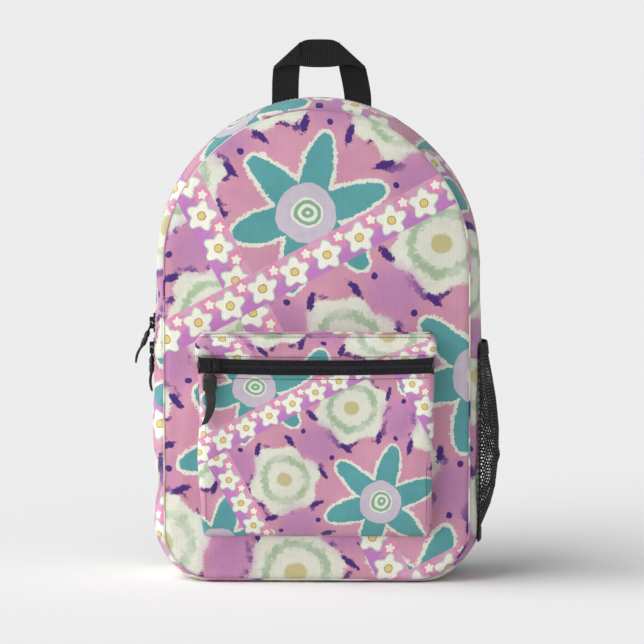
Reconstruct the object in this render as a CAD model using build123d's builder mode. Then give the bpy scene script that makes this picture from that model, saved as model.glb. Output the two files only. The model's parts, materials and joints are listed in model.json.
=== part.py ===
"""School backpack: an arched, zip-round bag of printed canvas with a zipped front pocket, a mesh
bottle pocket, a webbing handle and two padded shoulder straps.

Row frame, millimetres: +Z up, front towards -Y, origin on the floor in the middle of the base."""

import math
import os

from build123d import *

# ---------------------------------------------------------------- driving dimensions
ARCH_CENTRE_Z = 292.0  # height of the centre of the arched top
CORNER_RADIUS = 36.0  # bottom corners of the arched outline
# Depth, half width (also the arch's radius) and floor height of each outline, front to back.
SECTIONS = [(-55, 139, 6), (-42, 143, 0), (-15, 148, 0), (7, 148, 0), (42, 146, 0), (55, 141, 4)]
WALL = 2.0  # canvas with its lining
CROWN = 11.0  # how far the front panel swells forward of its seam
CROWN_INSET = 34.0  # width of the slope round the crown
FRONT_Y = SECTIONS[0][0]
BACK_Y = SECTIONS[-1][0]
ZIP_Y = -4.0
ZIP_HALF = 8.0  # half the width of the main zip's tape
ZIP_END_Z = 195.0  # where the main zip stops on each side
FOLD_Z = 246.0  # the front flap folds forward along this level
FOLD_GAP = 0.4
BASE_TOP = 40.0  # the bottom panel turns up to this height

COIL_HALF = 4.4  # half the width of the meshed coils
COIL_HEIGHT = 2.3
COIL_GAP = 0.6  # from the zip's middle line to each coil
TAPE = 1.0
TAPE_RECESS = 0.9  # the tape lies this far under the canvas

POCKET_HALF = 109.0
POCKET_TOP_Z = 228.0
POCKET_ZIP_Z = 201.0
POCKET_ZIP_HALF = 6.6
POCKET_Y = -88.0  # middle of the pocket's face at the zip
POCKET_FOOT = (-82.0, 53.0)  # y and z where the face turns in to the seam
POCKET_SEAM_Z = 46.0
CANVAS = 2.0

LINING_Y = (55.0, 56.0)
FOAM_Y = (56.0, 62.0)
BACK_FABRIC_Y = (62.0, 63.5)
SLEEVE_HALF = 118.0
SLEEVE_Z = (12.0, 290.0)
SLEEVE_Y = 42.0

NET = 1.2
NET_Z = (42.0, 58.0, 84.0, 138.0, 208.0)  # heights of the bottle pocket's sections
NET_BULGE = (2.0, 7.0, 14.5, 16.5, 8.0)  # how far it stands off the side at each
NET_HALF_DEPTH = 44.0
NET_ROOT_X = 143.0

WEBBING = 25.0
WEBBING_THICK = 1.8
HANDLE_Y = 48.0
HANDLE_FOOT_Z = 438.0
HANDLE_TOP_Z = 496.0
HANDLE_HALF = 44.0

STRAP_TOP = Vector(46, 66, 402)  # where the strap's line of swing leaves the back
STRAP_FOOT = Vector(118, 66, 24)  # and where it meets the bottom corner
PAD_WIDTH = 64.0
PAD_THICK = 11.0
PAD_CUT = 34.0  # distance down the swing line to the loose part of the pad
PAD_END = 268.0
PAD_OFFSET = 40.0  # how far the pad bows out from the swing line
LOCK_LENGTH = 26.0
SWING_LENGTH = (STRAP_FOOT - STRAP_TOP).length

SLIDER_LENGTH = 18.0
SLIDER_HALF = 6.6
CROWN_PIN = 6.6  # height of the pull's pivot over the zip tape
LOWER_SLIDER_Z = 211.0
UPPER_SLIDER_Z = 234.0
POCKET_SLIDER_X = -95.0
MAIN_PULL_LENGTH = 40.0  # pivot to tip
POCKET_PULL_LENGTH = 53.0
UPPER_PULL_LEAN = 22.0  # the upper pull lies on the lower slider, degrees from hanging

os.makedirs("parts", exist_ok=True)


def save(shape, name):
    """Labels a finished piece and writes it as its own node."""
    shape.label = name
    export_step(shape, f"parts/{name}.step")


# ---------------------------------------------------------------- the arched volume
def arched_outline(half_width, floor):
    """The bag's outline: flat base, round corners, straight sides, arched top."""
    corner_x = half_width - CORNER_RADIUS
    corner_z = floor + CORNER_RADIUS
    with BuildSketch() as outline:
        with BuildLine():
            Line((half_width, corner_z), (half_width, ARCH_CENTRE_Z))
            CenterArc((0, ARCH_CENTRE_Z), half_width, 0, 180)
            Line((-half_width, ARCH_CENTRE_Z), (-half_width, corner_z))
            CenterArc((-corner_x, corner_z), CORNER_RADIUS, 180, 90)
            Line((-corner_x, floor), (corner_x, floor))
            CenterArc((corner_x, corner_z), CORNER_RADIUS, 270, 90)
        make_face()
    return outline.sketch


def arched_body(grow, overrun=0.0):
    """The bag's volume through its sections, grown outward, and longer at each end by overrun."""
    last = len(SECTIONS) - 1
    with BuildPart() as body:
        for i, (y, half_width, floor) in enumerate(SECTIONS):
            depth = y - overrun if i == 0 else y + overrun if i == last else y
            with BuildSketch(Plane.XZ.offset(-depth)):
                add(arched_outline(half_width + grow, floor - grow))
        loft(ruled=True)
    return body.part


def plate(half_width, floor, y_range, grow=0.0):
    """A flat arched plate between two depths."""
    with BuildPart() as flat:
        with BuildSketch(Plane.XZ.offset(-y_range[1])):
            add(arched_outline(half_width + grow, floor - grow))
        extrude(amount=y_range[1] - y_range[0])
    return flat.part


def front_crown(grow, overrun=0.0):
    """The swollen front: from the front seam to a smaller outline further forward."""
    y, half_width, floor = SECTIONS[0]
    with BuildPart() as body:
        with BuildSketch(Plane.XZ.offset(-(y + overrun))):
            add(arched_outline(half_width + grow, floor - grow))
        with BuildSketch(Plane.XZ.offset(-(y - CROWN - grow))):
            add(arched_outline(half_width - CROWN_INSET + grow, floor + CROWN_INSET / 2 - grow))
        loft(ruled=True)
    return body.part


def slab(shape, y=(-200, 200), z=(-50, 600), x=(-300, 300)):
    """The part of a shape inside a block given by its ranges."""
    with BuildPart() as kept:
        add(shape)
        with Locations(((x[0] + x[1]) / 2, (y[0] + y[1]) / 2, (z[0] + z[1]) / 2)):
            Box(x[1] - x[0], y[1] - y[0], z[1] - z[0], mode=Mode.INTERSECT)
    return kept.part


def band(outer, inner):
    """A belt of cloth round the bag, between two offsets from its outside."""
    with BuildPart() as belt:
        add(arched_body(outer))
        add(arched_body(inner, overrun=1), mode=Mode.SUBTRACT)
    return belt.part


BODY = arched_body(0)
CROWN_BODY = front_crown(0)
GUSSET = band(0, -WALL)
ZIP_FRONT_Y = ZIP_Y - ZIP_HALF
ZIP_BACK_Y = ZIP_Y + ZIP_HALF
FLAP_Z = FOLD_Z + FOLD_GAP
TOP_Z = 600


# ---------------------------------------------------------------- gusset and base
def build_gusset():
    save(slab(GUSSET, y=(ZIP_BACK_Y, BACK_Y), z=(ZIP_END_Z, TOP_Z)), "gusset_back")
    save(slab(GUSSET, y=(FRONT_Y, ZIP_FRONT_Y), z=(FLAP_Z, TOP_Z)), "gusset_front")
    save(slab(GUSSET, y=(FRONT_Y, BACK_Y), z=(-1, BASE_TOP)), "bottom_panel")
    for name, x_range in (("side_panel_left", (-200, 0)), ("side_panel_right", (0, 200))):
        with BuildPart() as side:
            add(slab(GUSSET, z=(BASE_TOP, ZIP_END_Z), x=x_range))
            add(slab(GUSSET, y=(FRONT_Y, ZIP_FRONT_Y), z=(ZIP_END_Z, FOLD_Z), x=x_range))
        save(side.part, name)


def build_seam_bindings():
    """Binding tape over the raw seams inside, at the front and back edges of the gusset."""
    tape = band(-WALL, -WALL - 1.5)
    front = (FRONT_Y + 1, FRONT_Y + 9)
    save(slab(tape, y=front, z=(FLAP_Z, TOP_Z)), "front_seam_binding_upper")
    save(slab(tape, y=front, z=(-1, FOLD_Z)), "front_seam_binding_lower")
    save(slab(tape, y=(BACK_Y - 9, BACK_Y - 1)), "back_seam_binding")


# ---------------------------------------------------------------- front and back panels
def build_front_panel():
    with BuildPart() as front:
        add(CROWN_BODY)
        add(front_crown(-CANVAS, overrun=1), mode=Mode.SUBTRACT)
    save(slab(front.part, z=(FLAP_Z, TOP_Z)), "front_panel_upper")
    save(slab(front.part, z=(-1, FOLD_Z)), "front_panel_lower")


def build_back():
    _, half_width, floor = SECTIONS[-1]
    save(plate(half_width, floor, LINING_Y, grow=-1), "back_lining")
    save(plate(half_width, floor, FOAM_Y, grow=-4), "back_foam")
    with BuildPart() as cover:
        add(plate(half_width, floor, (LINING_Y[1], BACK_FABRIC_Y[1])))
        add(plate(half_width, floor, (0, FOAM_Y[1]), grow=-4), mode=Mode.SUBTRACT)
    save(cover.part, "back_panel")
    with BuildPart() as yoke:
        with BuildSketch(Plane.XZ.offset(-BACK_FABRIC_Y[1])):
            with Locations((0, STRAP_TOP.Z - 2)):
                Trapezoid(168, 30, 74)
        extrude(amount=-1.5)
    save(yoke.part, "strap_yoke")


def build_laptop_sleeve():
    height = SLEEVE_Z[1] - SLEEVE_Z[0]
    middle = sum(SLEEVE_Z) / 2
    depth = LINING_Y[0] - SLEEVE_Y
    with BuildPart() as sleeve:
        with Locations((0, SLEEVE_Y + depth / 2, middle)):
            Box(2 * SLEEVE_HALF, depth, height)
        with Locations((0, SLEEVE_Y + depth / 2 + CANVAS, middle + CANVAS)):
            Box(2 * (SLEEVE_HALF - CANVAS), depth, height, mode=Mode.SUBTRACT)
    with BuildPart() as clear:
        add(sleeve.part)
        add(arched_body(-WALL - 1.5, overrun=1), mode=Mode.INTERSECT)
    save(clear.part, "laptop_sleeve")
    with BuildPart() as binding:
        with Locations((0, SLEEVE_Y + 1, SLEEVE_Z[1] + 4)):
            Box(2 * SLEEVE_HALF, 4, 8)
        fillet(binding.edges().filter_by(Axis.X), 1.2)
    save(binding.part, "sleeve_binding")


# ---------------------------------------------------------------- zips
def zip_strip(side, outer, inner, reach):
    """One half of the main zip's tape or coil: side is -1 for the front half, 1 for the back."""
    edges = sorted((ZIP_Y + side * COIL_GAP, ZIP_Y + side * reach))
    return slab(band(outer, inner), y=edges, z=(ZIP_END_Z, TOP_Z))


def build_main_zip():
    tape = (-TAPE_RECESS, -TAPE_RECESS - TAPE)
    coil = (COIL_HEIGHT - TAPE_RECESS, -TAPE_RECESS)
    coil_start = ZIP_END_Z + 4
    save(zip_strip(1, *tape, ZIP_HALF), "main_zip_back_tape")
    save(slab(zip_strip(1, *coil, COIL_HALF), z=(coil_start, TOP_Z)), "main_zip_back_coil")
    front_tape = zip_strip(-1, *tape, ZIP_HALF)
    front_coil = zip_strip(-1, *coil, COIL_HALF)
    save(slab(front_tape, z=(FLAP_Z, TOP_Z)), "main_zip_front_tape")
    save(slab(front_coil, z=(FLAP_Z, TOP_Z)), "main_zip_front_coil")
    save(slab(front_tape, z=(ZIP_END_Z, FOLD_Z)), "main_zip_front_tape_ends")
    save(slab(front_coil, z=(coil_start, FOLD_Z)), "main_zip_front_coil_ends")
    stop_x = SECTIONS[2][1] - TAPE_RECESS + COIL_HEIGHT / 2
    with BuildPart() as stops:
        with Locations((-stop_x, ZIP_Y, ZIP_END_Z + 2), (stop_x, ZIP_Y, ZIP_END_Z + 2)):
            Box(COIL_HEIGHT - 0.2, 6, 2.6)
    save(stops.part, "main_zip_stops")


def build_pocket_zip():
    length = 2 * (POCKET_HALF - CANVAS)
    for name, side in (("upper", 1), ("lower", -1)):
        tape_z = POCKET_ZIP_Z + side * (COIL_GAP + POCKET_ZIP_HALF) / 2
        coil_z = POCKET_ZIP_Z + side * (COIL_GAP + COIL_HALF) / 2
        with BuildPart() as tape:
            with Locations((0, POCKET_Y + TAPE / 2, tape_z)):
                Box(length, TAPE, POCKET_ZIP_HALF - COIL_GAP)
        save(tape.part, f"pocket_zip_{name}_tape")
        with BuildPart() as coil:
            with Locations((0, POCKET_Y - COIL_HEIGHT / 2, coil_z)):
                Box(length - 6, COIL_HEIGHT, COIL_HALF - COIL_GAP)
        save(coil.part, f"pocket_zip_{name}_coil")
    with BuildPart() as stops:
        for x in (-length / 2 + 1.4, length / 2 - 1.4):
            with Locations((x, POCKET_Y - COIL_HEIGHT / 2, POCKET_ZIP_Z)):
                Box(2, COIL_HEIGHT - 0.2, 6)
    save(stops.part, "pocket_zip_stops")


def slider(frame, crosswise):
    """A zip slider on a frame whose x runs along the zip, nose at -x, and z points outward.
    crosswise turns the crown so that the pull pivots across the zip, not along it."""
    roof = COIL_HEIGHT + 0.4
    with BuildPart(frame) as body:
        with BuildSketch(frame.offset(roof)):
            with BuildLine():
                Polyline(
                    (-SLIDER_LENGTH / 2, -SLIDER_HALF),
                    (SLIDER_LENGTH / 2, -SLIDER_HALF + 1.6),
                    (SLIDER_LENGTH / 2, SLIDER_HALF - 1.6),
                    (-SLIDER_LENGTH / 2, SLIDER_HALF),
                    close=True,
                )
            make_face()
            fillet(vertices(), 2.2)
        extrude(amount=2)
        for side in (-1, 1):
            with Locations((-1, side * (COIL_HALF + 1.2), roof / 2 + 0.3)):
                Box(SLIDER_LENGTH - 5, 1.3, roof - 0.6)
        with Locations((0, 0, -TAPE - 1.2)):
            Box(SLIDER_LENGTH - 3, 2 * SLIDER_HALF - 3, 1.4)
        with Locations((-5, 0, (roof - TAPE) / 2)):
            Box(5, 0.6, roof + TAPE + 2)
        crown_size = (11, 3.4) if crosswise else (3.4, 11)
        with Locations((0, 0, CROWN_PIN)):
            Box(*crown_size, 4.2)
        top_edges = body.faces().sort_by(Axis(frame.origin, frame.z_dir))[-1].edges()
        fillet(top_edges, 1.2)
        bore_turn = (90, 0, 0) if crosswise else (0, 90, 0)
        with Locations(Location((0, 0, CROWN_PIN), bore_turn)):
            Cylinder(1.35, 20, mode=Mode.SUBTRACT)
    return body.part


def pull_bail(frame):
    """A flat wire bail: frame's origin is its pivot, x along the pivot, y down the pull."""
    with BuildPart() as bail:
        with BuildSketch(frame):
            with Locations((0, 5)):
                RectangleRounded(9.4, 11.6, 1.6)
                RectangleRounded(6.6, 8.8, 0.8, mode=Mode.SUBTRACT)
        extrude(amount=0.7, both=True)
    return bail.part


def pull_tab(frame, length):
    """A moulded tab that hangs on the bail: a short neck, a square head and a tapered tail."""
    with BuildPart() as tab:
        with BuildSketch(frame):
            with Locations((0, 10.6)):
                Rectangle(5.6, 5)
        extrude(amount=1.6, both=True)
        with BuildSketch(frame):
            with Locations((0, 18.5)):
                RectangleRounded(12, 12, 1.5)
        extrude(amount=1.8, both=True)
        with BuildSketch(frame):
            with BuildLine():
                Polyline((-4.4, 23), (4.4, 23), (3.4, length), (-3.4, length), close=True)
            make_face()
        extrude(amount=1.2, both=True)
        with Locations(frame * Location((0, 10.1, 0), (0, 90, 0))):
            Cylinder(1.2, 8, mode=Mode.SUBTRACT)
    return tab.part


def hanging(pivot, outward, lean):
    """A pull's frame at its pivot: y hangs down, leaning outward by lean degrees, z faces out."""
    turn = math.radians(lean)
    down = Vector(0, 0, -1) * math.cos(turn) + outward * math.sin(turn)
    face = outward * math.cos(turn) + Vector(0, 0, 1) * math.sin(turn)
    return Plane(origin=pivot, x_dir=down.cross(face), z_dir=face)


def build_sliders():
    tape_x = SECTIONS[2][1] - TAPE_RECESS
    left = Vector(-1, 0, 0)
    for name, z, lean in (("lower", LOWER_SLIDER_Z, 0), ("upper", UPPER_SLIDER_Z, UPPER_PULL_LEAN)):
        frame = Plane(origin=(-tape_x, ZIP_Y, z), x_dir=(0, 0, 1), z_dir=left)
        save(slider(frame, crosswise=True), f"main_slider_{name}")
        pivot = Vector(-tape_x - CROWN_PIN, ZIP_Y, z)
        pull = hanging(pivot, left, lean)
        save(pull_bail(pull), f"main_pull_bail_{name}")
        save(pull_tab(pull, MAIN_PULL_LENGTH), f"main_pull_tab_{name}")
    front = Vector(0, -1, 0)
    frame = Plane(origin=(POCKET_SLIDER_X, POCKET_Y, POCKET_ZIP_Z), x_dir=(1, 0, 0), z_dir=front)
    save(slider(frame, crosswise=False), "pocket_slider")
    pull = hanging(Vector(POCKET_SLIDER_X, POCKET_Y - CROWN_PIN, POCKET_ZIP_Z), front, 0)
    save(pull_bail(pull), "pocket_pull_bail")
    save(pull_tab(pull, POCKET_PULL_LENGTH), "pocket_pull_tab")


# ---------------------------------------------------------------- front pocket
POCKET_BAND_Z = POCKET_ZIP_Z + POCKET_ZIP_HALF + 0.4
POCKET_FACE_Z = POCKET_ZIP_Z - POCKET_ZIP_HALF - 0.4
POCKET_LIP_Z = POCKET_TOP_Z - 12
POCKET_LEDGE = [(-60, POCKET_TOP_Z), (-83, POCKET_TOP_Z - 3)]
POCKET_TOP_LINE = [*POCKET_LEDGE, (POCKET_Y, POCKET_LIP_Z), (POCKET_Y, POCKET_BAND_Z)]
POCKET_FACE_LINE = [(POCKET_Y, POCKET_FACE_Z), POCKET_FOOT, (-60, POCKET_SEAM_Z)]


def pocket_strip(points, radius):
    """Canvas that follows a line in the YZ plane, across the pocket's width."""
    with BuildPart() as strip:
        with BuildSketch(Plane.YZ) as profile:
            with BuildLine():
                FilletPolyline(*points, radius=radius)
            trace(line_width=CANVAS)
        extrude(amount=POCKET_HALF - CANVAS, both=True)
        add(CROWN_BODY, mode=Mode.SUBTRACT)
    return strip.part


def build_pocket():
    save(pocket_strip(POCKET_TOP_LINE, 7), "pocket_top_band")
    save(pocket_strip(POCKET_FACE_LINE, 8), "pocket_face")
    front = POCKET_Y - CANVAS / 2
    outline = [(-60, POCKET_TOP_Z + 1), (-84, POCKET_TOP_Z - 2), (front, POCKET_LIP_Z)]
    outline += [(front, POCKET_FACE_Z)]
    outline += [(POCKET_FOOT[0] - 1, POCKET_FOOT[1] - 1), (-60, POCKET_SEAM_Z - 1)]
    for name, x in (("pocket_gusset_left", -POCKET_HALF), ("pocket_gusset_right", POCKET_HALF - CANVAS)):
        with BuildPart() as side:
            with BuildSketch(Plane.YZ.offset(x)):
                with BuildLine():
                    Polyline(*outline, close=True)
                make_face()
            extrude(amount=CANVAS)
            add(CROWN_BODY, mode=Mode.SUBTRACT)
        save(side.part, name)


# ---------------------------------------------------------------- bottle pocket
def net_section(bulge, thick):
    """The net's cross-section in plan, a crescent that stands off the side by bulge."""
    tip = SECTIONS[2][1] + bulge
    half = NET_HALF_DEPTH
    with BuildSketch() as section:
        with BuildLine():
            ThreePointArc((NET_ROOT_X, -half), (tip, 0), (NET_ROOT_X, half))
            Line((NET_ROOT_X, half), (NET_ROOT_X, half - thick))
            ThreePointArc((NET_ROOT_X, half - thick), (tip - thick, 0), (NET_ROOT_X, thick - half))
            Line((NET_ROOT_X, thick - half), (NET_ROOT_X, -half))
        make_face()
    return section.sketch


def build_bottle_pocket():
    with BuildPart() as net:
        for z, bulge in zip(NET_Z, NET_BULGE):
            with BuildSketch(Plane.XY.offset(z)):
                add(net_section(bulge, NET))
        loft(ruled=True)
        add(BODY, mode=Mode.SUBTRACT)
    save(net.part, "bottle_pocket_net")
    with BuildPart() as hem:
        with BuildSketch(Plane.XY.offset(NET_Z[-1])):
            add(net_section(NET_BULGE[-1] + 0.6, NET + 1.2))
        extrude(amount=9)
        add(BODY, mode=Mode.SUBTRACT)
    save(hem.part, "bottle_pocket_elastic_hem")
    with BuildPart() as foot:
        for z, bulge in ((NET_Z[0] - 6, 0.5), (NET_Z[0], NET_BULGE[0])):
            with BuildSketch(Plane.XY.offset(z)):
                with BuildLine():
                    tip = (SECTIONS[2][1] + bulge, 0)
                    ThreePointArc((NET_ROOT_X, -NET_HALF_DEPTH), tip, (NET_ROOT_X, NET_HALF_DEPTH))
                    Line((NET_ROOT_X, NET_HALF_DEPTH), (NET_ROOT_X, -NET_HALF_DEPTH))
                make_face()
        loft(ruled=True)
        add(BODY, mode=Mode.SUBTRACT)
    save(foot.part, "bottle_pocket_foot")


# ---------------------------------------------------------------- handle
def build_handle():
    """One length of webbing: two upright legs, folded over at 45 degrees into a cross band."""
    band_foot = HANDLE_TOP_Z - WEBBING
    inner = HANDLE_HALF - WEBBING
    with BuildPart() as handle:
        with BuildSketch(Plane.XZ.offset(-HANDLE_Y - WEBBING_THICK)):
            for side in (-1, 1):
                with Locations((side * (inner + WEBBING / 2), (HANDLE_FOOT_Z + band_foot) / 2)):
                    Rectangle(WEBBING, band_foot - HANDLE_FOOT_Z)
        extrude(amount=WEBBING_THICK)
        with BuildSketch(Plane.XZ.offset(-HANDLE_Y - WEBBING_THICK)):
            with BuildLine():
                Polyline(
                    (-HANDLE_HALF, band_foot),
                    (-inner, HANDLE_TOP_Z),
                    (inner, HANDLE_TOP_Z),
                    (HANDLE_HALF, band_foot),
                    close=True,
                )
            make_face()
        extrude(amount=2 * WEBBING_THICK)
    save(handle.part, "top_handle")
    with BuildPart() as seam:
        with BuildSketch(Plane.XZ.offset(-HANDLE_Y - WEBBING_THICK)):
            for side in (-1, 1):
                with Locations((side * (inner + WEBBING / 2), HANDLE_FOOT_Z - 12)):
                    Rectangle(WEBBING, 20)
        extrude(amount=WEBBING_THICK)
        add(BODY, mode=Mode.SUBTRACT)
    save(seam.part, "handle_seam_tabs")


# ---------------------------------------------------------------- shoulder straps
DOWN = (STRAP_FOOT - STRAP_TOP).normalized()
ACROSS = Vector(-DOWN.Z, 0, DOWN.X)
STRAP_PLANE = Plane(origin=STRAP_TOP, x_dir=(0, 1, 0), z_dir=ACROSS)  # x: off the back, -y: down
LOCK_OFFSET = 34.0
TAB_END = SWING_LENGTH - 26.0


def strap_piece(points, radius, thick, width, down_range=None):
    """A band that follows a line of (offset, distance down) points, across its width."""
    with BuildPart() as piece:
        with BuildSketch(STRAP_PLANE):
            with BuildLine():
                FilletPolyline(*[(offset, -down) for offset, down in points], radius=radius)
            trace(line_width=thick)
            if down_range:
                with Locations((0, -sum(down_range) / 2)):
                    Rectangle(400, down_range[1] - down_range[0], mode=Mode.INTERSECT)
        extrude(amount=width / 2, both=True)
    return piece.part


def both_sides(right, name):
    """Writes a piece for the right strap and its mirror image for the left one."""
    save(right, f"right_{name}")
    with BuildPart() as left:
        add(right)
        mirror(about=Plane.YZ, mode=Mode.REPLACE)
    save(left.part, f"left_{name}")


def build_ladder_lock():
    top = PAD_END + 5
    with BuildPart() as lock:
        with BuildSketch(STRAP_PLANE):
            with Locations((LOCK_OFFSET, -top - LOCK_LENGTH / 2)):
                Rectangle(4, LOCK_LENGTH)
        extrude(amount=WEBBING / 2 + 3.6, both=True)
        for centre in (0.28, 0.72):
            with BuildSketch(STRAP_PLANE):
                with Locations((LOCK_OFFSET, -top - LOCK_LENGTH * centre)):
                    Rectangle(10, LOCK_LENGTH * 0.3)
            extrude(amount=WEBBING / 2 + 0.6, both=True, mode=Mode.SUBTRACT)
        fillet(lock.edges().filter_by(Axis.Y), 1.0)
    both_sides(lock.part, "ladder_lock")


def build_straps():
    line = [(5.7, 0), (PAD_OFFSET - 8, 36), (PAD_OFFSET, 110), (PAD_OFFSET, 220), (LOCK_OFFSET, PAD_END)]
    both_sides(strap_piece(line, 24, PAD_THICK, PAD_WIDTH, (0, PAD_CUT)), "strap_root")
    both_sides(strap_piece(line, 24, PAD_THICK, PAD_WIDTH, (PAD_CUT + 0.4, PAD_END)), "strap_pad")
    build_ladder_lock()
    top = PAD_END + 5
    bar = top + LOCK_LENGTH * 0.06
    clear = 3.4
    loop = [(LOCK_OFFSET + clear, PAD_END), (LOCK_OFFSET + clear, bar + 5), (LOCK_OFFSET - clear, bar + 5)]
    loop += [(LOCK_OFFSET - clear, PAD_END)]
    both_sides(strap_piece(loop, 1.6, 1.4, WEBBING), "lock_loop_webbing")
    grip = top + LOCK_LENGTH * 0.5
    lower = [(13, TAB_END - 0.5), (LOCK_OFFSET - clear, grip + 22), (LOCK_OFFSET - clear, grip - 3.2)]
    lower += [(LOCK_OFFSET + clear, grip - 3.2), (LOCK_OFFSET + clear, grip + 62)]
    both_sides(strap_piece(lower, 1.6, 1.4, WEBBING), "lower_webbing")
    tab = [(0.5, SWING_LENGTH), (6.3, SWING_LENGTH - 12), (13, TAB_END)]
    both_sides(strap_piece(tab, 8, 2.4, 34, (TAB_END, SWING_LENGTH)), "corner_tab")


build_gusset()
build_seam_bindings()
build_front_panel()
build_back()
build_laptop_sleeve()
build_main_zip()
build_pocket_zip()
build_sliders()
build_pocket()
build_bottle_pocket()
build_handle()
build_straps()
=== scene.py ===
"""The looks of the school backpack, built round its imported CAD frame. Lengths are in millimetres
until a mesh is made; the row frame has the front towards -Y and the floor at z = 0."""

import json
import math

import bpy
import numpy as np
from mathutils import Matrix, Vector, noise


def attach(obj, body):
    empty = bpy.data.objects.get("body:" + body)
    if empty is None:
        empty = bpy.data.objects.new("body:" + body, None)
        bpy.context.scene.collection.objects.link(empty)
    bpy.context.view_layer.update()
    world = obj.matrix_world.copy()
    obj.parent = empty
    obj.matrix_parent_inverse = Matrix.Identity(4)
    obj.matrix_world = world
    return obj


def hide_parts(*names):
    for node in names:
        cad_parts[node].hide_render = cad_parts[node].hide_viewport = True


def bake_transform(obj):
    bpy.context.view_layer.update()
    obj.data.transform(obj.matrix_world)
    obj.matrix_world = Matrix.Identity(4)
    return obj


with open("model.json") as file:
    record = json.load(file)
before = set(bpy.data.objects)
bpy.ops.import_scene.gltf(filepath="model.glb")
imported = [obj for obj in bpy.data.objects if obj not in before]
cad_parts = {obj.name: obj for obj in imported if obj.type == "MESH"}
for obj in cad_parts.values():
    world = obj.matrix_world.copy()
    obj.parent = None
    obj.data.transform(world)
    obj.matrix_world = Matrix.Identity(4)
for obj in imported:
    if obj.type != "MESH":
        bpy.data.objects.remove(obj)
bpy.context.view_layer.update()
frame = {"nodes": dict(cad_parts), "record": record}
MM = 0.001
TAU = 2 * math.pi
FORWARD = np.array([0, -1.0, 0])
BACKWARD = np.array([0, 1.0, 0])


# ================================================================ node helpers
class Field:
    """A number in a node tree. Arithmetic on it adds Math nodes."""

    def __init__(self, tree, socket):
        self.tree = tree
        self.socket = socket

    def op(self, operation, *others):
        node = self.tree.nodes.new("ShaderNodeMath")
        node.operation = operation
        for i, value in enumerate((self, *others)):
            put(self.tree, node.inputs[i], value)
        return Field(self.tree, node.outputs[0])

    def __add__(self, other):
        return self.op("ADD", other)

    def __radd__(self, other):
        return self.op("ADD", other)

    def __sub__(self, other):
        return self.op("SUBTRACT", other)

    def __rsub__(self, other):
        return (self * -1) + other

    def __mul__(self, other):
        return self.op("MULTIPLY", other)

    def __rmul__(self, other):
        return self.op("MULTIPLY", other)

    def __truediv__(self, other):
        return self.op("DIVIDE", other)

    def abs(self):
        return self.op("ABSOLUTE")

    def mod(self, period):
        return self.op("FLOORED_MODULO", period)

    def step(self, low, high):
        """0 below low, 1 above high, smooth between; low may be above high, which turns it round."""
        node = self.tree.nodes.new("ShaderNodeMapRange")
        node.interpolation_type = "SMOOTHSTEP"
        flipped = low > high
        put(self.tree, node.inputs["Value"], self)
        node.inputs["From Min"].default_value = min(low, high)
        node.inputs["From Max"].default_value = max(low, high)
        node.inputs["To Min"].default_value = 1.0 if flipped else 0.0
        node.inputs["To Max"].default_value = 0.0 if flipped else 1.0
        return Field(self.tree, node.outputs["Result"])


def put(tree, socket, value):
    if isinstance(value, Field):
        tree.links.new(value.socket, socket)
    elif isinstance(value, (int, float)):
        socket.default_value = value
    elif isinstance(value, tuple):
        socket.default_value = value if len(value) == 4 else (*value, 1.0)
    else:
        tree.links.new(value, socket)


def hypot(a, b):
    return (a * a + b * b).op("SQRT")


def turn(x, y, degrees):
    """The coordinates x, y in axes turned by some degrees."""
    c, s = math.cos(math.radians(degrees)), math.sin(math.radians(degrees))
    return x * c + y * s, y * c - x * s


def mix(tree, factor, a, b):
    node = tree.nodes.new("ShaderNodeMix")
    node.data_type = "RGBA"
    put(tree, node.inputs["Factor"], factor)
    put(tree, node.inputs[6], a)
    put(tree, node.inputs[7], b)
    return node.outputs[2]


def rgb(code):
    """A linear colour from a hex code."""
    parts = [int(code[i : i + 2], 16) / 255 for i in (0, 2, 4)]
    return tuple(p / 12.92 if p <= 0.04045 else ((p + 0.055) / 1.055) ** 2.4 for p in parts)


def vector(tree, x, y, z=0.0):
    node = tree.nodes.new("ShaderNodeCombineXYZ")
    for i, value in enumerate((x, y, z)):
        put(tree, node.inputs[i], value)
    return node.outputs[0]


def cloud(tree, x, y, size, detail=2.0, rough=0.5, seed=0.0):
    """Smooth noise from about -1 to 1, whose features are about size across."""
    node = tree.nodes.new("ShaderNodeTexNoise")
    node.noise_dimensions = "3D"
    tree.links.new(vector(tree, x, y, seed), node.inputs["Vector"])
    node.inputs["Scale"].default_value = 1.0 / size
    node.inputs["Detail"].default_value = detail
    node.inputs["Roughness"].default_value = rough
    return (Field(tree, node.outputs[0]) - 0.5) * 2.6


def uv_fields(tree):
    """The cloth's own coordinates, in millimetres."""
    node = tree.nodes.new("ShaderNodeUVMap")
    node.uv_map = "cloth"
    split = tree.nodes.new("ShaderNodeSeparateXYZ")
    tree.links.new(node.outputs[0], split.inputs[0])
    return Field(tree, split.outputs[0]) * 1000, Field(tree, split.outputs[1]) * 1000


def new_material(name):
    material = bpy.data.materials.new(name)
    material.use_nodes = True
    shader = material.node_tree.nodes["Principled BSDF"]
    return material, material.node_tree, shader


def finish(tree, shader, colour, rough, sheen, specular):
    """Sets the shader's colour, roughness, sheen and specular level."""
    tree.links.new(colour, shader.inputs["Base Color"])
    put(tree, shader.inputs["Roughness"], rough)
    shader.inputs["Sheen Weight"].default_value = sheen
    shader.inputs["Specular IOR Level"].default_value = specular


def bump(tree, shader, height, distance, strength=1.0):
    node = tree.nodes.new("ShaderNodeBump")
    put(tree, node.inputs["Height"], height)
    node.inputs["Distance"].default_value = distance * MM
    node.inputs["Strength"].default_value = strength
    tree.links.new(node.outputs[0], shader.inputs["Normal"])


# ================================================================ the print
PINK = rgb("D499AE")
DEEP_PINK = rgb("C689A2")
MAGENTA = rgb("B47DB2")
TEAL = rgb("589C9E")
CREAM = rgb("E0E1D2")
LILAC = rgb("CBC1CD")
VIOLET = rgb("4A2B79")


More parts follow.
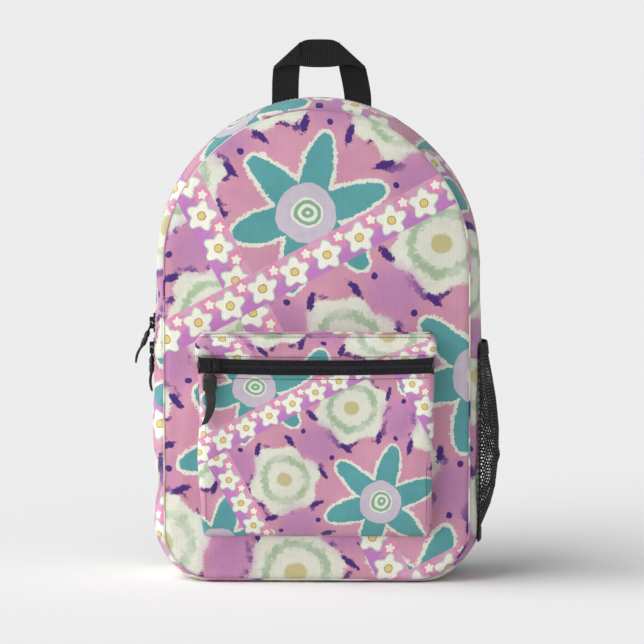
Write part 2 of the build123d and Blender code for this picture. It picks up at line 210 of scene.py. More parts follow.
def star_print(tree, x, y):
    """A generic floral print: six-petalled flowers on a triangular lattice, mottled cream blooms in the
    triangles between them, magenta smudges half way from flower to flower, and bands of small florets."""
    rough = cloud(tree, x, y, 5.0, 3.0, 0.7)
    soft = cloud(tree, x, y, 46.0, 2.0, 0.5, 3.0)
    fray = cloud(tree, x, y, 1.9, 1.0, 0.6, 52.0)
    period = 215.0
    bloom_x, bloom_y = period / 2, 62
    tall = period * math.sqrt(3)
    wx = x + cloud(tree, x, y, 38.0, 2.0, 0.5, 61.0) * 4
    wy = y + cloud(tree, x, y, 38.0, 2.0, 0.5, 67.0) * 4
    tx, ty = turn(wx + 56, wy - 128, 17)
    near = (tx.mod(period) - period / 2, ty.mod(tall) - tall / 2)
    far = ((tx + period / 2).mod(period) - period / 2, (ty + tall / 2).mod(tall) - tall / 2)
    first = hypot(*near).op("LESS_THAN", hypot(*far))
    lx = far[0] + (near[0] - far[0]) * first
    ly = far[1] + (near[1] - far[1]) * first
    radius = hypot(lx, ly)
    sector = ((ly.op("ARCTAN2", lx) + math.pi / 6).mod(math.pi / 3) - math.pi / 6).abs()
    qx = radius * sector.op("COSINE")
    qy = radius * sector.op("SINE")

    colour = mix(tree, soft.step(-0.5, 0.9), PINK, DEEP_PINK)
    dusty = cloud(tree, x, y, 17.0, 3.0, 0.6, 71.0)
    colour = mix(tree, dusty.step(0.0, 1.0) * 0.4, colour, rgb("C391AC"))

    # Blooms, with a broken violet rim, a sage ring and a yellow middle.
    bloom = hypot(qx - bloom_x, qy - bloom_y)
    lobes = ((qy - bloom_y).op("ARCTAN2", qx - bloom_x) * 6).op("COSINE") * 4
    edge = bloom - lobes + soft * 5 + rough * 4 + fray * 1.5
    broken = cloud(tree, x, y, 17.0, 1.0, 0.5, 9.0) + rough * 0.35
    rim = (edge + rough * 2).step(43, 45) * (edge + rough * 2).step(52, 49) * broken.step(0.05, 0.25)
    tint = cloud(tree, x, y, 20.0, 2.0, 0.5, 5.0)
    mottle = cloud(tree, x, y, 9.0, 3.0, 0.7, 81.0)
    cream = mix(tree, mottle.step(-0.2, 1.0) * 0.55, CREAM, rgb("C9CCC2"))
    cream = mix(tree, tint.step(0.2, 1.2) * 0.35, cream, rgb("C6CFA4"))
    colour = mix(tree, edge.step(45, 41), colour, cream)
    colour = mix(tree, rim * 0.92, colour, VIOLET)
    sage = ((bloom - 27).abs() + rough * 6).step(6, 2) * tint.step(-0.9, 0.3)
    colour = mix(tree, sage * 0.75, colour, rgb("8DAE86"))
    eye = bloom + rough * 2
    colour = mix(tree, eye.step(11, 8), colour, rgb("C8BE8C"))
    smudge = hypot((qx - bloom_x) / 1.15, qy) + rough * 7 + soft * 6
    colour = mix(tree, smudge.step(36, 8) * 0.7, colour, MAGENTA)
    dusk = (smudge + mottle * 9).step(30, 20) * mottle.step(0.1, 0.9)
    colour = mix(tree, dusk * 0.6, colour, rgb("9B7C9C"))

    # Violet brush marks between the petals.
    mark = hypot((qx - 78) / 10, (qy - 21) / 3.6) + rough * 0.6 + fray * 0.3
    colour = mix(tree, mark.step(1.1, 0.75), colour, VIOLET)

    # The flower: a ragged cream edge, teal petals, and a lilac heart with plain rings round a dot.
    reach = (qx - 32) / 44
    width = (1 - reach * reach * reach.op("SIGN")).op("MAXIMUM", 0.0).op("POWER", 0.5) * 17.5
    inside = width - qy
    ragged = inside + rough * 3.6 + fray * 1.7
    margin = ragged.step(-0.4, 0.4) * (qx + rough * 2).step(78, 76)
    colour = mix(tree, margin, colour, mix(tree, rough.step(0.1, 0.9), CREAM, rgb("EBD5D6")))
    petal = (inside + rough * 2.0 + fray * 1.0).step(3.4, 4.0) * qx.step(73, 71)
    teal = mix(tree, dusty.step(-0.6, 1.2), TEAL, rgb("5FA6AB"))
    colour = mix(tree, petal, colour, teal)
    heart = radius + rough * 0.9
    lilac = mix(tree, mottle.step(-0.4, 1.0), LILAC, rgb("C3B4C6"))
    colour = mix(tree, heart.step(27.6, 27.0), colour, lilac)
    rings = (heart * (TAU / 7.0)).op("COSINE")
    medal = mix(tree, rings.step(-0.2, 0.1), rgb("86AF8A"), rgb("E4E6DC"))
    colour = mix(tree, heart.step(14.6, 14.0), colour, medal)
    tip = hypot(qx - 83, qy) + rough * 0.8
    colour = mix(tree, tip.step(3.4, 2.9), colour, VIOLET)

    # Bands of florets, cut clean across the rest.
    for angle, gap in ((-62, 262.0), (28, 306.0)):
        u, v = turn(x + 64, y - 262, angle)
        across = (v + gap / 2).mod(gap) - gap / 2
        band = (across + rough * 0.8).abs().step(15.4, 15.0)
        colour = mix(tree, band, colour, floret_band(tree, u, across, rough))

    # Specks of ink.
    speck = cloud(tree, x, y, 2.1, 0.0, 0.5, 21.0)
    pale = cloud(tree, x, y, 26.0, 1.0, 0.5, 14.0)
    return mix(tree, speck.step(0.8, 1.05) * pale.step(-0.6, 0.3) * 0.6, colour, rgb("6A6672"))


def floret_band(tree, u, v, rough):
    """Plain white florets with a round yellow middle, small pink ones between them, on magenta."""
    step = 33.0
    v = v + rough * 0.7
    u = u + rough * 0.9
    a = u.mod(step) - step / 2
    b = (u + step / 2).mod(step) - step / 2
    colour = mix(tree, (rough + v * 0.06).step(-0.6, 0.9), rgb("C27EC1"), rgb("D9A3C0"))
    spread = hypot(b, v - 8.0)
    beat = (v - 8.0).op("ARCTAN2", b) * 5
    petals = spread - (beat.op("COSINE") * 2.2 + 6.8)
    colour = mix(tree, petals.step(0.7, 0.0), colour, rgb("E48DB0"))
    colour = mix(tree, (spread - beat.op("COSINE") * 0.8).step(4.2, 3.4), colour, rgb("F2EFE2"))
    ring = hypot(a, v + 1.5)
    wave = (v + 1.5).op("ARCTAN2", a) * 5
    flower = ring - (wave.op("COSINE") * 2.4 + 10.8) + rough * 1.2
    colour = mix(tree, flower.step(1.9, 1.0), colour, rgb("B5D3BE"))
    colour = mix(tree, flower.step(0.8, -0.4), colour, rgb("F1EFE2"))
    middle = ring + rough * 0.4
    colour = mix(tree, middle.step(4.4, 3.9), colour, rgb("A3935E"))
    return mix(tree, middle.step(3.5, 3.0), colour, rgb("E2CC7E"))


def canvas_material():
    """The printed canvas: a vertical rib in the weave, paler along worn edges, with painted shade darkening it in
    the seams.
    """
    material, tree, shader = new_material("print_canvas")
    x, y = uv_fields(tree)
    colour = star_print(tree, x, y)
    rib = (x * (TAU / 1.9)).op("SINE")
    pick = (y * (TAU / 0.8)).op("SINE")
    slub = cloud(tree, x * 3, y * 0.25, 3.0, 2.0, 0.6, 31.0)
    grain = cloud(tree, x, y, 1.1, 2.0, 0.7, 44.0)
    grime = cloud(tree, x, y, 12.0, 4.0, 0.75, 47.0)
    shade = (rib * 0.045 + pick * 0.012 + slub * 0.035 + grain * 0.05 + grime * 0.05) + 0.893
    seam = attribute(tree, "seam")
    # Painted seam shade: the colour darkens to 0.83 at a seam and fades out 5 mm from it.
    shade = shade * (seam.step(0.0, 5.0) * 0.17 + 0.83)
    worn = seam.step(1.2, 2.4) * seam.step(4.5, 2.8) * cloud(tree, x, y, 9.0, 2.0, 0.5, 40.0).step(0.1, 0.9)
    colour = mix(tree, worn * 0.22, colour, rgb("EFEDEA"))
    tint = tree.nodes.new("ShaderNodeVectorMath")
    tint.operation = "SCALE"
    tree.links.new(colour, tint.inputs[0])
    put(tree, tint.inputs["Scale"], shade)
    finish(tree, shader, tint.outputs[0], slub * 0.05 + 0.82, sheen=0.12, specular=0.25)
    bump(tree, shader, rib * 0.5 + pick * 0.25 + slub * 0.6, 0.12, 0.5)
    return material


def attribute(tree, name):
    node = tree.nodes.new("ShaderNodeAttribute")
    node.attribute_name = name
    return Field(tree, node.outputs["Fac"])


def woven_material(name, base, light, rib=1.6, rib_depth=0.25, rough=0.7, across=False):
    """Dyed webbing, tape or mesh: ribs along or across its length, with worn, paler threads."""
    material, tree, shader = new_material(name)
    x, y = uv_fields(tree)
    along, over = (y, x) if across else (x, y)
    ribs = (along * (TAU / rib)).op("SINE")
    fine = (over * (TAU / (rib * 0.55))).op("SINE")
    wear = cloud(tree, x, y, 14.0, 3.0, 0.6, 2.0)
    threads = ribs * 0.5 + fine * 0.3
    colour = mix(tree, (threads + wear * 0.7).step(-0.5, 1.6), rgb(base), rgb(light))
    finish(tree, shader, colour, wear * 0.06 + rough, sheen=0.06, specular=0.3)
    bump(tree, shader, threads, rib_depth, 0.8)
    return material


def mesh_material(name, base, light):
    """Spacer mesh: a honeycomb of small dark holes between matt, slightly fuzzy threads."""
    material, tree, shader = new_material(name)
    x, y = uv_fields(tree)
    waves = [turn(x, y, angle)[0] * (TAU / 2.7) for angle in (0, 60, 120)]
    holes = waves[0].op("COSINE") + waves[1].op("COSINE") + waves[2].op("COSINE")
    wear = cloud(tree, x, y, 18.0, 3.0, 0.6, 2.0)
    colour = mix(tree, (wear * 0.5 - holes * 0.3).step(-0.6, 1.1), rgb(base), rgb(light))
    colour = mix(tree, holes.step(0.8, 2.2), colour, rgb("08080A"))
    finish(tree, shader, colour, wear * 0.05 + 0.85, sheen=0.25, specular=0.2)
    bump(tree, shader, holes * -0.4 + wear * 0.2, 0.5, 0.8)
    return material


def moulded_material(name, base, light, rough=0.42, metal=0.0):
    """Moulded plastic or painted metal: fine grain, scuffed patches, slightly uneven gloss."""
    material, tree, shader = new_material(name)
    place = tree.nodes.new("ShaderNodeTexCoord")
    textures = []
    for scale, detail in ((900.0, 3.0), (160.0, 4.0)):
        texture = tree.nodes.new("ShaderNodeTexNoise")
        tree.links.new(place.outputs["Object"], texture.inputs["Vector"])
        texture.inputs["Scale"].default_value = scale
        texture.inputs["Detail"].default_value = detail
        textures.append(Field(tree, texture.outputs[0]))
    grain, scuff = textures
    worn = scuff.step(0.56, 0.72)
    tree.links.new(mix(tree, worn * 0.6, rgb(base), rgb(light)), shader.inputs["Base Color"])
    put(tree, shader.inputs["Roughness"], worn * 0.12 + rough)
    shader.inputs["Metallic"].default_value = metal
    bump(tree, shader, grain, 0.05, 0.5)
    return material


MATERIAL = {
    "print_canvas": canvas_material(),
    "binding": woven_material("binding", "0D0D0F", "222226", 1.2, 0.2),
    "lining": woven_material("lining", "26262A", "3B3B41", 0.9, 0.1, 0.6),
    "air_mesh": mesh_material("air_mesh", "151518", "3E3E46"),
    "net": woven_material("net", "0B0B0D", "202024", 0.8, 0.08, 0.6),
    "zip_tape": woven_material("zip_tape", "151518", "303036", 0.9, 0.2, 0.7),
    # Painted glint: the coil's grey is lighter than its dark plastic, standing in for the highlights on the coil;
    # the zip stops share it.
    "zip_coil": moulded_material("zip_coil", "3A3A40", "4E4E55", 0.3),
    "webbing": woven_material("webbing", "070708", "18181B", 1.7, 0.5, 0.62, across=True),
    "lock_plastic": moulded_material("lock_plastic", "121214", "303035"),
    "slider_metal": moulded_material("slider_metal", "141417", "4A4A52", 0.28, 0.55),
    "pull_rubber": moulded_material("pull_rubber", "141416", "303036", 0.42),
    "thread_pale": woven_material("thread_pale", "C9C3C4", "F0EDEC", 0.5, 0.05, 0.6),
    "thread_dark": woven_material("thread_dark", "201C22", "453F48", 0.5, 0.05, 0.6),
}


SLOTS = {m["slot"] for m in frame["record"]["materials"]}


# ================================================================ mesh helpers
def unit(v):
    return v / np.maximum(np.linalg.norm(v, axis=-1, keepdims=True), 1e-9)


def add_piece(name, verts, faces, material, body, uv=None, seam=None, sharp=40, replaces=(), lined=None):
    """Makes a mesh object from millimetre points, on its body when body is a name, with its cloth coordinates.
    seam is each point's distance from the nearest seam. replaces=True stands for the CAD node of the same name."""
    mesh = bpy.data.meshes.new(name)
    mesh.from_pydata((np.asarray(verts, float) * MM).tolist(), [], faces)
    mesh.validate()
    if uv is not None:
        layer = mesh.uv_layers.new(name="cloth")
        index = np.zeros(len(mesh.loops), np.int32)
        mesh.loops.foreach_get("vertex_index", index)
        layer.data.foreach_set("uv", (np.asarray(uv, float)[index] * MM).ravel())
    if seam is not None:
        near = mesh.attributes.new("seam", "FLOAT", "POINT")
        near.data.foreach_set("value", np.asarray(seam, np.float32).ravel())
    mesh.polygons.foreach_set("use_smooth", [True] * len(mesh.polygons))
    mesh.set_sharp_from_angle(angle=math.radians(sharp))
    piece = bpy.data.objects.new(name, mesh)
    bpy.context.collection.objects.link(piece)
    mesh.materials.append(MATERIAL[material])
    if lined is not None:
        mesh.materials.append(MATERIAL["lining"])
        mesh.polygons.foreach_set("material_index", lined)
    material in SLOTS
    if isinstance(body, str):
        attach(piece, body)
    else:
        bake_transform(piece)
    if replaces:
        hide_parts(*([name] if replaces is True else replaces))
    return piece


def grid_faces(rows, cols, start=0, flip=False, wrap=False):
    faces = []
    for i in range(rows - 1):
        low, high = start + i * cols, start + (i + 1) * cols
        for j in range(cols if wrap else cols - 1):
            k = (j + 1) % cols
            quad = (low + j, low + k, high + k, high + j)
            faces.append(quad[::-1] if flip else quad)
    return faces


def caps(rows, cols, start=0):
    """The two end faces of a tube of rows by cols points."""
    last = start + (rows - 1) * cols
    return [tuple(range(start, start + cols))[::-1], tuple(range(last, last + cols))]


def crossed(rows, cols):
    """A grid of pairs, the first number from rows and the second from cols."""
    return np.stack(np.broadcast_arrays(rows[:, None], cols[None, :]), -1)


def run_length(path):
    """The distance along a polyline to each of its points."""
    return np.concatenate([[0], np.cumsum(np.linalg.norm(np.diff(path, axis=0), axis=1))])


def grid_normals(points):
    du = np.gradient(points, axis=0)
    dv = np.gradient(points, axis=1)
    return unit(np.cross(dv, du))


def shell(points, thick, uv, seam=None):
    """A cloth of some thickness whose outside is the grid of points: returns verts, faces, uv, seam.
    The grid's normal (columns x rows) has to face out."""
    rows, cols = points.shape[:2]
    outer = points.reshape(-1, 3)
    inner = (points - grid_normals(points) * thick).reshape(-1, 3)
    count = rows * cols
    faces = grid_faces(rows, cols) + grid_faces(rows, cols, count, flip=True)
    rim = list(range(cols)) + [i * cols + cols - 1 for i in range(1, rows)]
    rim += [(rows - 1) * cols + j for j in range(cols - 2, -1, -1)]
    rim += [i * cols for i in range(rows - 2, 0, -1)]
    for a, b in zip(rim, rim[1:] + rim[:1]):
        faces.append((b, a, a + count, b + count))
    seam = np.broadcast_to(50.0 if seam is None else seam, (rows, cols)).ravel()
    flat = np.asarray(uv, float).reshape(-1, 2)
    return np.vstack([outer, inner]), faces, np.vstack([flat, flat]), np.concatenate([seam, seam])


def add_shell(name, points, thick, uv, material, body, seam=None, replaces=()):
    verts, faces, flat, near = shell(points, thick, uv, seam)
    lined = None
    if material == "print_canvas":
        quads = (points.shape[0] - 1) * (points.shape[1] - 1)
        lined = [0] * quads + [1] * quads + [0] * (len(faces) - 2 * quads)
    return add_piece(name, verts, faces, material, body, flat, near, 50, replaces, lined)


def frames_along(path, up):
    """Tangent, side and normal along a path; up is a hint for the normal, one or one per point."""
    path = np.asarray(path, float)
    tangent = unit(np.gradient(path, axis=0))
    side = unit(np.cross(tangent, np.broadcast_to(np.asarray(up, float), path.shape)))
    return path, tangent, side, unit(np.cross(side, tangent))


def sweep(path, up, section, close=True):
    """Sweeps a closed section of (side, normal) points along a path: returns verts, faces, uv."""
    path, _, side, normal = frames_along(path, up)
    section = np.asarray(section, float)
    if section.ndim == 2:
        section = np.broadcast_to(section, (len(path), *section.shape))
    verts = path[:, None] + side[:, None] * section[..., :1] + normal[:, None] * section[..., 1:]
    rows, cols = verts.shape[:2]
    faces = grid_faces(rows, cols, flip=True, wrap=True)
    if close:
        faces += [face[::-1] for face in caps(rows, cols)]
    uv = crossed(run_length(path), run_length(section[0]))[..., ::-1]
    return verts.reshape(-1, 3), faces, uv.reshape(-1, 2)


def round_section(width, thick, corner=0.35, steps=3):
    """A flat band's section with rounded edges."""
    r = thick * corner
    points = []
    for sx, sy, start in ((1, 1, 0), (-1, 1, 90), (-1, -1, 180), (1, -1, 270)):
        cx, cy = sx * (width / 2 - r), sy * (thick / 2 - r)
        for k in range(steps + 1):
            a = math.radians(start + 90 * k / steps)
            points.append((cx + r * math.cos(a), cy + r * math.sin(a)))
    return points


def circle_section(radius, sides=8):
    return [(radius * math.cos(TAU * k / sides), radius * math.sin(TAU * k / sides)) for k in range(sides)]


def join(parts):
    """Joins (verts, faces, uv) parts into one."""
    verts, faces, uvs, start = [], [], [], 0
    for v, f, u in parts:
        verts.append(np.asarray(v, float))
        uvs.append(np.asarray(u, float))
        faces += [tuple(i + start for i in face) for face in f]
        start += len(v)
    return np.vstack(verts), faces, np.vstack(uvs)


def resample(path, step):
    """Points every step along a polyline, and the distance of each."""
    path = np.asarray(path, float)
    along = run_length(path)
    count = max(2, int(round(along[-1] / step)) + 1)
    at = np.linspace(0, along[-1], count)
    return np.stack([np.interp(at, along, path[:, k]) for k in range(3)], -1), at


def smooth_path(points, rounds=3):
    """Cuts a polyline's corners until it is a smooth curve."""
    points = np.asarray(points, float)
    for _ in range(rounds):
        a = points[:-1] * 0.75 + points[1:] * 0.25
        b = points[:-1] * 0.25 + points[1:] * 0.75
        points = np.vstack([points[:1], np.stack([a, b], 1).reshape(-1, 3), points[-1:]])
    return points


def stitches(name, path, up, body, material="thread_pale", length=2.6, gap=1.0, radius=0.28):
    """A row of stitches lying on the cloth along a path; up is the cloth's outward direction."""
    path, at = resample(path, 0.5)
    up = np.broadcast_to(np.asarray(up, float), path.shape) if np.ndim(up) == 1 else up
    if len(up) != len(path):
        up = np.stack([np.interp(at, np.linspace(0, at[-1], len(up)), up[:, k]) for k in range(3)], -1)
    parts = []
    centre = length / 2 + 0.3
    while centre + length / 2 < at[-1]:
        ends = [centre - length / 2, centre - length * 0.25, centre + length * 0.25, centre + length / 2]
        spine = np.stack([np.interp(ends, at, path[:, k]) for k in range(3)], -1)
        lift = np.stack([np.interp([centre], at, up[:, k]) for k in range(3)], -1)
        spine = spine + lift * np.array([[-0.15], [radius * 0.75], [radius * 0.75], [-0.15]])
        parts.append(sweep(spine, lift[0], circle_section(radius, 5)))
        centre += length + gap
    verts, faces, uv = join(parts)
    return add_piece(name, verts, faces, material, body, uv, sharp=80)


def rumple(points, normals, size, amount, seed=0.0, weight=1.0):
    """Moves points along their normals by smooth noise."""
    flat = points.reshape(-1, 3)
    value = np.array([noise.noise(Vector((p[0] / size + seed, p[1] / size, p[2] / size))) for p in flat])
    return points + normals * (value.reshape(points.shape[:-1]) * amount * weight)[..., None]


def ease(value, low, high):
    t = np.clip((np.asarray(value, float) - low) / (high - low), 0, 1)
    return t * t * (3 - 2 * t)


# ================================================================ the bag's outside
ARCH_Z = 292.0
CORNER = 46.0
HALF = 149.0
ROUND = CORNER * math.pi / 2
LENGTHS = [2 * (HALF - CORNER), ROUND, ARCH_Z - CORNER, HALF * math.pi, ARCH_Z - CORNER, ROUND]
MARKS = np.concatenate([[0], np.cumsum(LENGTHS)])
PROFILE = np.array([
    (-56.0, 138.6, 3.0), (-54.5, 140.6, 2.7), (-51.5, 142.8, 1.3), (-47.0, 144.7, 0.5), (-41.0, 146.2, 0.3),
    (-30.0, 148.0, 0.0), (-15.0, 149.3, 0.0), (-4.0, 149.5, 0.0), (7.0, 149.3, 0.0), (25.0, 148.4, 0.0),
    (38.0, 147.0, 0.0), (47.0, 145.2, 0.4), (53.0, 143.0, 1.8), (55.5, 141.2, 3.6)])
FLOOR_GAP = 0.05
FOLD_Z = 246
FOLD = ("bag", "front_flap", (0, -0.067, 0.232), (0, -0.067, 0.262))


def side_mark(z, left=False):
    """Where height z is on the right or the left side, along the outline."""
    return MARKS[5] - (z - CORNER) if left else MARKS[2] + (z - CORNER)


def outline(mark, half, floor):
    """The arched outline's x and z at marks along it, for one half width and floor height."""
    mark, half, floor = np.broadcast_arrays(np.asarray(mark, float), half, floor)
    t = [np.clip((mark - MARKS[k]) / LENGTHS[k], 0, 1) for k in range(6)]
    k = np.clip(np.searchsorted(MARKS, mark, side="right") - 1, 0, 5)
    flat = half - CORNER
    rise = ARCH_Z - CORNER - floor
    angle = t[3] * math.pi
    fuller = half * (1 - 0.012 * np.sin(2 * angle) ** 2)
    right, left = t[1] * math.pi / 2, t[5] * math.pi / 2
    xs = [flat * (2 * t[0] - 1), flat + CORNER * np.sin(right), half,
          fuller * np.cos(angle), -half, -flat - CORNER * np.cos(left)]
    zs = [floor + 0 * t[0], floor + CORNER * (1 - np.cos(right)), floor + CORNER + rise * t[2],
          ARCH_Z + fuller * np.sin(angle), ARCH_Z - rise * t[4], floor + CORNER * (1 - np.sin(left))]
    return np.choose(k, xs), np.choose(k, zs)


def bag_surface(marks, depths, lift=0.0):
    """Points of the gusset: rows at marks round the outline, columns at depths front to back."""
    marks, depths = np.asarray(marks, float), np.asarray(depths, float)
    half = np.interp(depths, PROFILE[:, 0], PROFILE[:, 1]) + lift
    floor = np.interp(depths, PROFILE[:, 0], PROFILE[:, 2]) - lift
    x, z = outline(marks[:, None], half[None, :], floor[None, :])
    y = np.broadcast_to(depths[None, :], x.shape)
    side = np.exp(-(((z - 170) / 95) ** 2)) * (np.abs(x) > 100)
    high = np.exp(-(((z - 292) / 62) ** 2)) * (np.abs(x) > 100)
    middle = np.cos(np.clip(depths / 60, -1, 1) * math.pi / 2)[None, :]
    x = x + np.sign(x) * (side * 1.6 - high * 2.0) * middle
    return np.stack([settle(x, z), y, z], -1)


def settle(x, z):
    """The base slumps: the lower right corner is drawn in under the bag."""
    return x - 7.0 * np.clip(x / 148, 0, 1) ** 2 * ease(46 - z, 0, 46)


def margins(marks, depths):
    """How far the points of a grid are from its long edges and its ends, and how free that leaves them."""
    edge = np.minimum(depths - depths[0], depths[-1] - depths)[None, :]
    ends = np.minimum(marks - marks[0], marks[-1] - marks)[:, None]
    return edge, ends, ease(edge, 0, 12) * ease(ends, 0, 10)


def gusset_piece(name, marks, depths, body="bag", material="print_canvas", thick=1.6, lift=0.0, squash=1.0,
                 shift=(0, 0), relief=1.0, replaces=()):
    """A strip of the gusset. squash and shift place the print on it; relief is how much it creases."""
    depths = np.asarray(depths, float)
    points = bag_surface(marks, depths, lift)
    out = grid_normals(points)
    edge, ends, free = margins(marks, depths)
    ripple = np.exp(-edge / 6) * ease(edge, 0, 2.5) * ease(ends, 0, 8)
    points = rumple(points, out, 55, 3.0 * relief, 1.7, free)
    points = rumple(points, out, 17, 1.0 * relief, 5.2, free)
    points = rumple(points, out, 9, 1.1 * relief, 8.8, ripple)
    points[..., 2] = np.maximum(points[..., 2], FLOOR_GAP)
    uv = crossed(marks + shift[0], depths * squash + shift[1])
    add_shell(name, points, thick, uv, material, body, np.minimum(edge, ends), replaces)


def spaced(start, stop, step):
    return np.linspace(start, stop, max(2, int(abs(stop - start) / step) + 1))


def build_gusset():
    over = spaced(side_mark(204), side_mark(204, True), 3.5)
    front = np.concatenate([[-56, -55.4, -54.5, -53, -51.5, -49.5], spaced(-47, -14, 3), [-12.6]])
    back = np.concatenate([[4.6, 6], spaced(9, 46, 3), [49, 51.5, 53.4, 54.7, 55.5]])
    gusset_piece("gusset_front", over, front, FOLD, squash=0.6, shift=(40, 30), replaces=True)
    over = spaced(side_mark(195), side_mark(195, True), 3.5)
    gusset_piece("gusset_back", over, back, squash=0.8, shift=(40, 80), replaces=True)
    whole = np.concatenate([front, [-10, -7, -4, -1, 2], back])
    for side, left in (("right", False), ("left", True)):
        marks = spaced(side_mark(40, left), side_mark(195, left), 3.5)
        marks = marks[::-1] if left else marks
        gusset_piece(f"side_panel_{side}", marks, whole, squash=0.55, shift=(130, 10), replaces=True)
        marks = spaced(side_mark(195, left), side_mark(204, left), 3)
        marks = marks[::-1] if left else marks
        gusset_piece(f"side_panel_{side}_top", marks, front, squash=0.55, shift=(130, 10))
    build_base(whole)


def build_base(depths):
    """The underside, and the corners that it turns up at both sides."""
    run = spaced(side_mark(40, True) - MARKS[-1], side_mark(40), 3.5)
    points = bag_surface(np.where(run < 0, run + MARKS[-1], run), depths)
    edge, ends, free = margins(run, depths)
    points = rumple(points, grid_normals(points), 45, 2.2, 4.4, free * ease(points[..., 2], 0, 14))
    points[..., 2] = np.maximum(points[..., 2], FLOOR_GAP)
    uv = crossed(run + 20, depths)
    add_shell("bottom_panel", points, 1.6, uv, "print_canvas", "bag", np.minimum(edge, ends), True)


# ---------------------------------------------------------------- front panel
def arch_depth(x, z, half, floor):
    """How far a point of the panel is inside its arched edge."""
    x = np.abs(x)
    low = np.minimum(half - x, z - floor)
    corner = (x > half - CORNER) & (z < floor + CORNER)
    low = np.where(corner, CORNER - np.hypot(x - half + CORNER, z - floor - CORNER), low)
    return np.where(z > ARCH_Z, half - np.hypot(x, z - ARCH_Z), low)


def panel_rows(half, floor, step):
    """Heights and half widths of the rows of an arched panel, bottom to top."""
    turn_up = np.radians(spaced(0, 90, 90 / (CORNER * 1.57 / step)))
    low = np.stack([floor + CORNER * (1 - np.cos(turn_up)), half - CORNER + CORNER * np.sin(turn_up)], -1)
    mid_z = spaced(floor + CORNER, ARCH_Z, step)[1:-1]
    mid = np.stack([mid_z, np.full(len(mid_z), half)], -1)
    over = np.radians(spaced(0, 89.3, 90 / (half * 1.57 / step)))
    fuller = half * (1 - 0.012 * np.sin(2 * over) ** 2)
    top = np.stack([ARCH_Z + fuller * np.sin(over), fuller * np.cos(over)], -1)
    return np.vstack([low, mid, top])


def panel_grid(half, floor, cols, step=3.2):
    """The x and z of an arched panel's grid of points."""
    rows = panel_rows(half, floor, step)
    x = rows[:, 1:] * np.linspace(-1, 1, cols)[None, :]
    return x, np.broadcast_to(rows[:, :1], x.shape)


def fold_line(x, z, a, b, width, height):
    """A soft ridge along the line from a to b."""
    d = np.array([b[0] - a[0], b[1] - a[1]], float)
    length = np.hypot(*d)
    t = ((x - a[0]) * d[0] + (z - a[1]) * d[1]) / length**2
    off = ((x - a[0]) * d[1] - (z - a[1]) * d[0]) / length
    past = np.clip(np.abs(t - 0.5) - 0.3, 0, 9)
    return height * np.exp(-((off / width) ** 2)) * np.exp(-((past / 0.22) ** 2))


FRONT_FOLDS = [
    ((-112, 20), (-80, 44), 9, 1.6), ((-60, 8), (-20, 36), 12, 1.2), ((30, 12), (70, 34), 12, 1.4),
    ((96, 18), (122, 50), 9, 1.8), ((-126, 60), (-112, 190), 7, 1.2), ((118, 70), (130, 170), 7, 1.4),
    ((-118, 236), (-80, 300), 13, 1.2), ((116, 240), (84, 310), 13, 1.2), ((-40, 250), (30, 262), 14, 0.9),
    ((-60, 330), (-20, 400), 20, 1.0), ((50, 320), (76, 385), 18, 1.0),
]


FRONT_HALF, FRONT_FLOOR = 138.6, 3.0


def front_depth(x, z):
    """The front panel's y: it rolls out of the seam, then crowns gently."""
    inside = arch_depth(x, z, FRONT_HALF, FRONT_FLOOR)
    y = -56 - 3.2 * (1 - np.exp(-inside / 2.6)) - 7.2 * ease(inside, 0, 62)
    for a, b, width, height in FRONT_FOLDS:
        y = y - fold_line(x, z, a, b, width, height) * ease(inside, 2, 16)
    return y


def build_front_panel():
    x, z = panel_grid(FRONT_HALF, FRONT_FLOOR, 93)
    points = np.stack([settle(x, z), front_depth(x, z), z], -1)
    inside = arch_depth(x, z, FRONT_HALF, FRONT_FLOOR)
    points = rumple(points, FORWARD, 60, 2.4, 2.2, ease(inside, 3, 30))
    points = rumple(points, FORWARD, 8, 0.9, 6.1, np.exp(-inside / 7) * ease(inside, 0.5, 3))
    add_shell("front_panel", points, 1.6, np.stack([x, z], -1), "print_canvas", FOLD, inside,
              ["front_panel_upper", "front_panel_lower"])


def outline_path(half, floor, y, start=0.0, stop=None, step=3.0):
    """The arched outline at one depth as points, from one mark to another."""
    marks = spaced(start, MARKS[-1] if stop is None else stop, step)
    x, z = outline(np.mod(marks, MARKS[-1]), half, floor)
    return np.stack([x, np.full_like(x, y), z], -1)


def build_seams():
    """The piping rolled into the front seam, and the tape that binds the seams inside."""
    turns = spaced(side_mark(40, True) - MARKS[-1], side_mark(40, True) - 0.01, 2.0)
    path = bag_surface(np.mod(turns, MARKS[-1]), np.array([-56.3, -55.3]))[:, 0]
    path[:, 2] = np.maximum(path[:, 2], 1.6)
    above = path[:, 2] > FOLD_Z
    upper, lower = np.where(above)[0], np.where(~above)[0]
    gap = np.argmax(np.diff(lower)) + 1
    lower = np.concatenate([lower[gap:-1], lower[:gap]])
    for name, part, body in (("lower", lower, "bag"), ("upper", upper, FOLD)):
        verts, faces, flat = sweep(path[part], FORWARD, circle_section(0.85))
        # A seam distance of 2.2 mm gives the piping part of the canvas's painted seam shade, and its worn
        # paleness.
        add_piece(f"front_piping_{name}", verts, faces, "print_canvas", body, flat * [1, 0.6] + [60, 0],
                  np.full(len(verts), 2.2))
    right, left = side_mark(FOLD_Z), side_mark(FOLD_Z, True)
    front, back, lift = spaced(-54, -46, 2), spaced(46, 54, 2), -2.6
    gusset_piece("front_seam_binding_upper", spaced(right, left, 4), front, FOLD, "binding", 1.0, lift,
                 relief=0.3, replaces=True)
    low = np.concatenate([spaced(left, MARKS[-1], 4)[:-1], MARKS[-1] + spaced(0, right, 4)])
    whole = spaced(0, MARKS[-1] - 0.01, 4)
    for name, marks, depths in (("front_seam_binding_lower", low, front), ("back_seam_binding", whole, back)):
        points = bag_surface(np.mod(marks, MARKS[-1]), depths, lift)
        add_shell(name, points, 1.0, crossed(marks, depths), "binding", "bag", replaces=True)


# ================================================================ zips
COIL_PITCH, COIL_STAGGER = 1.45, 0.72


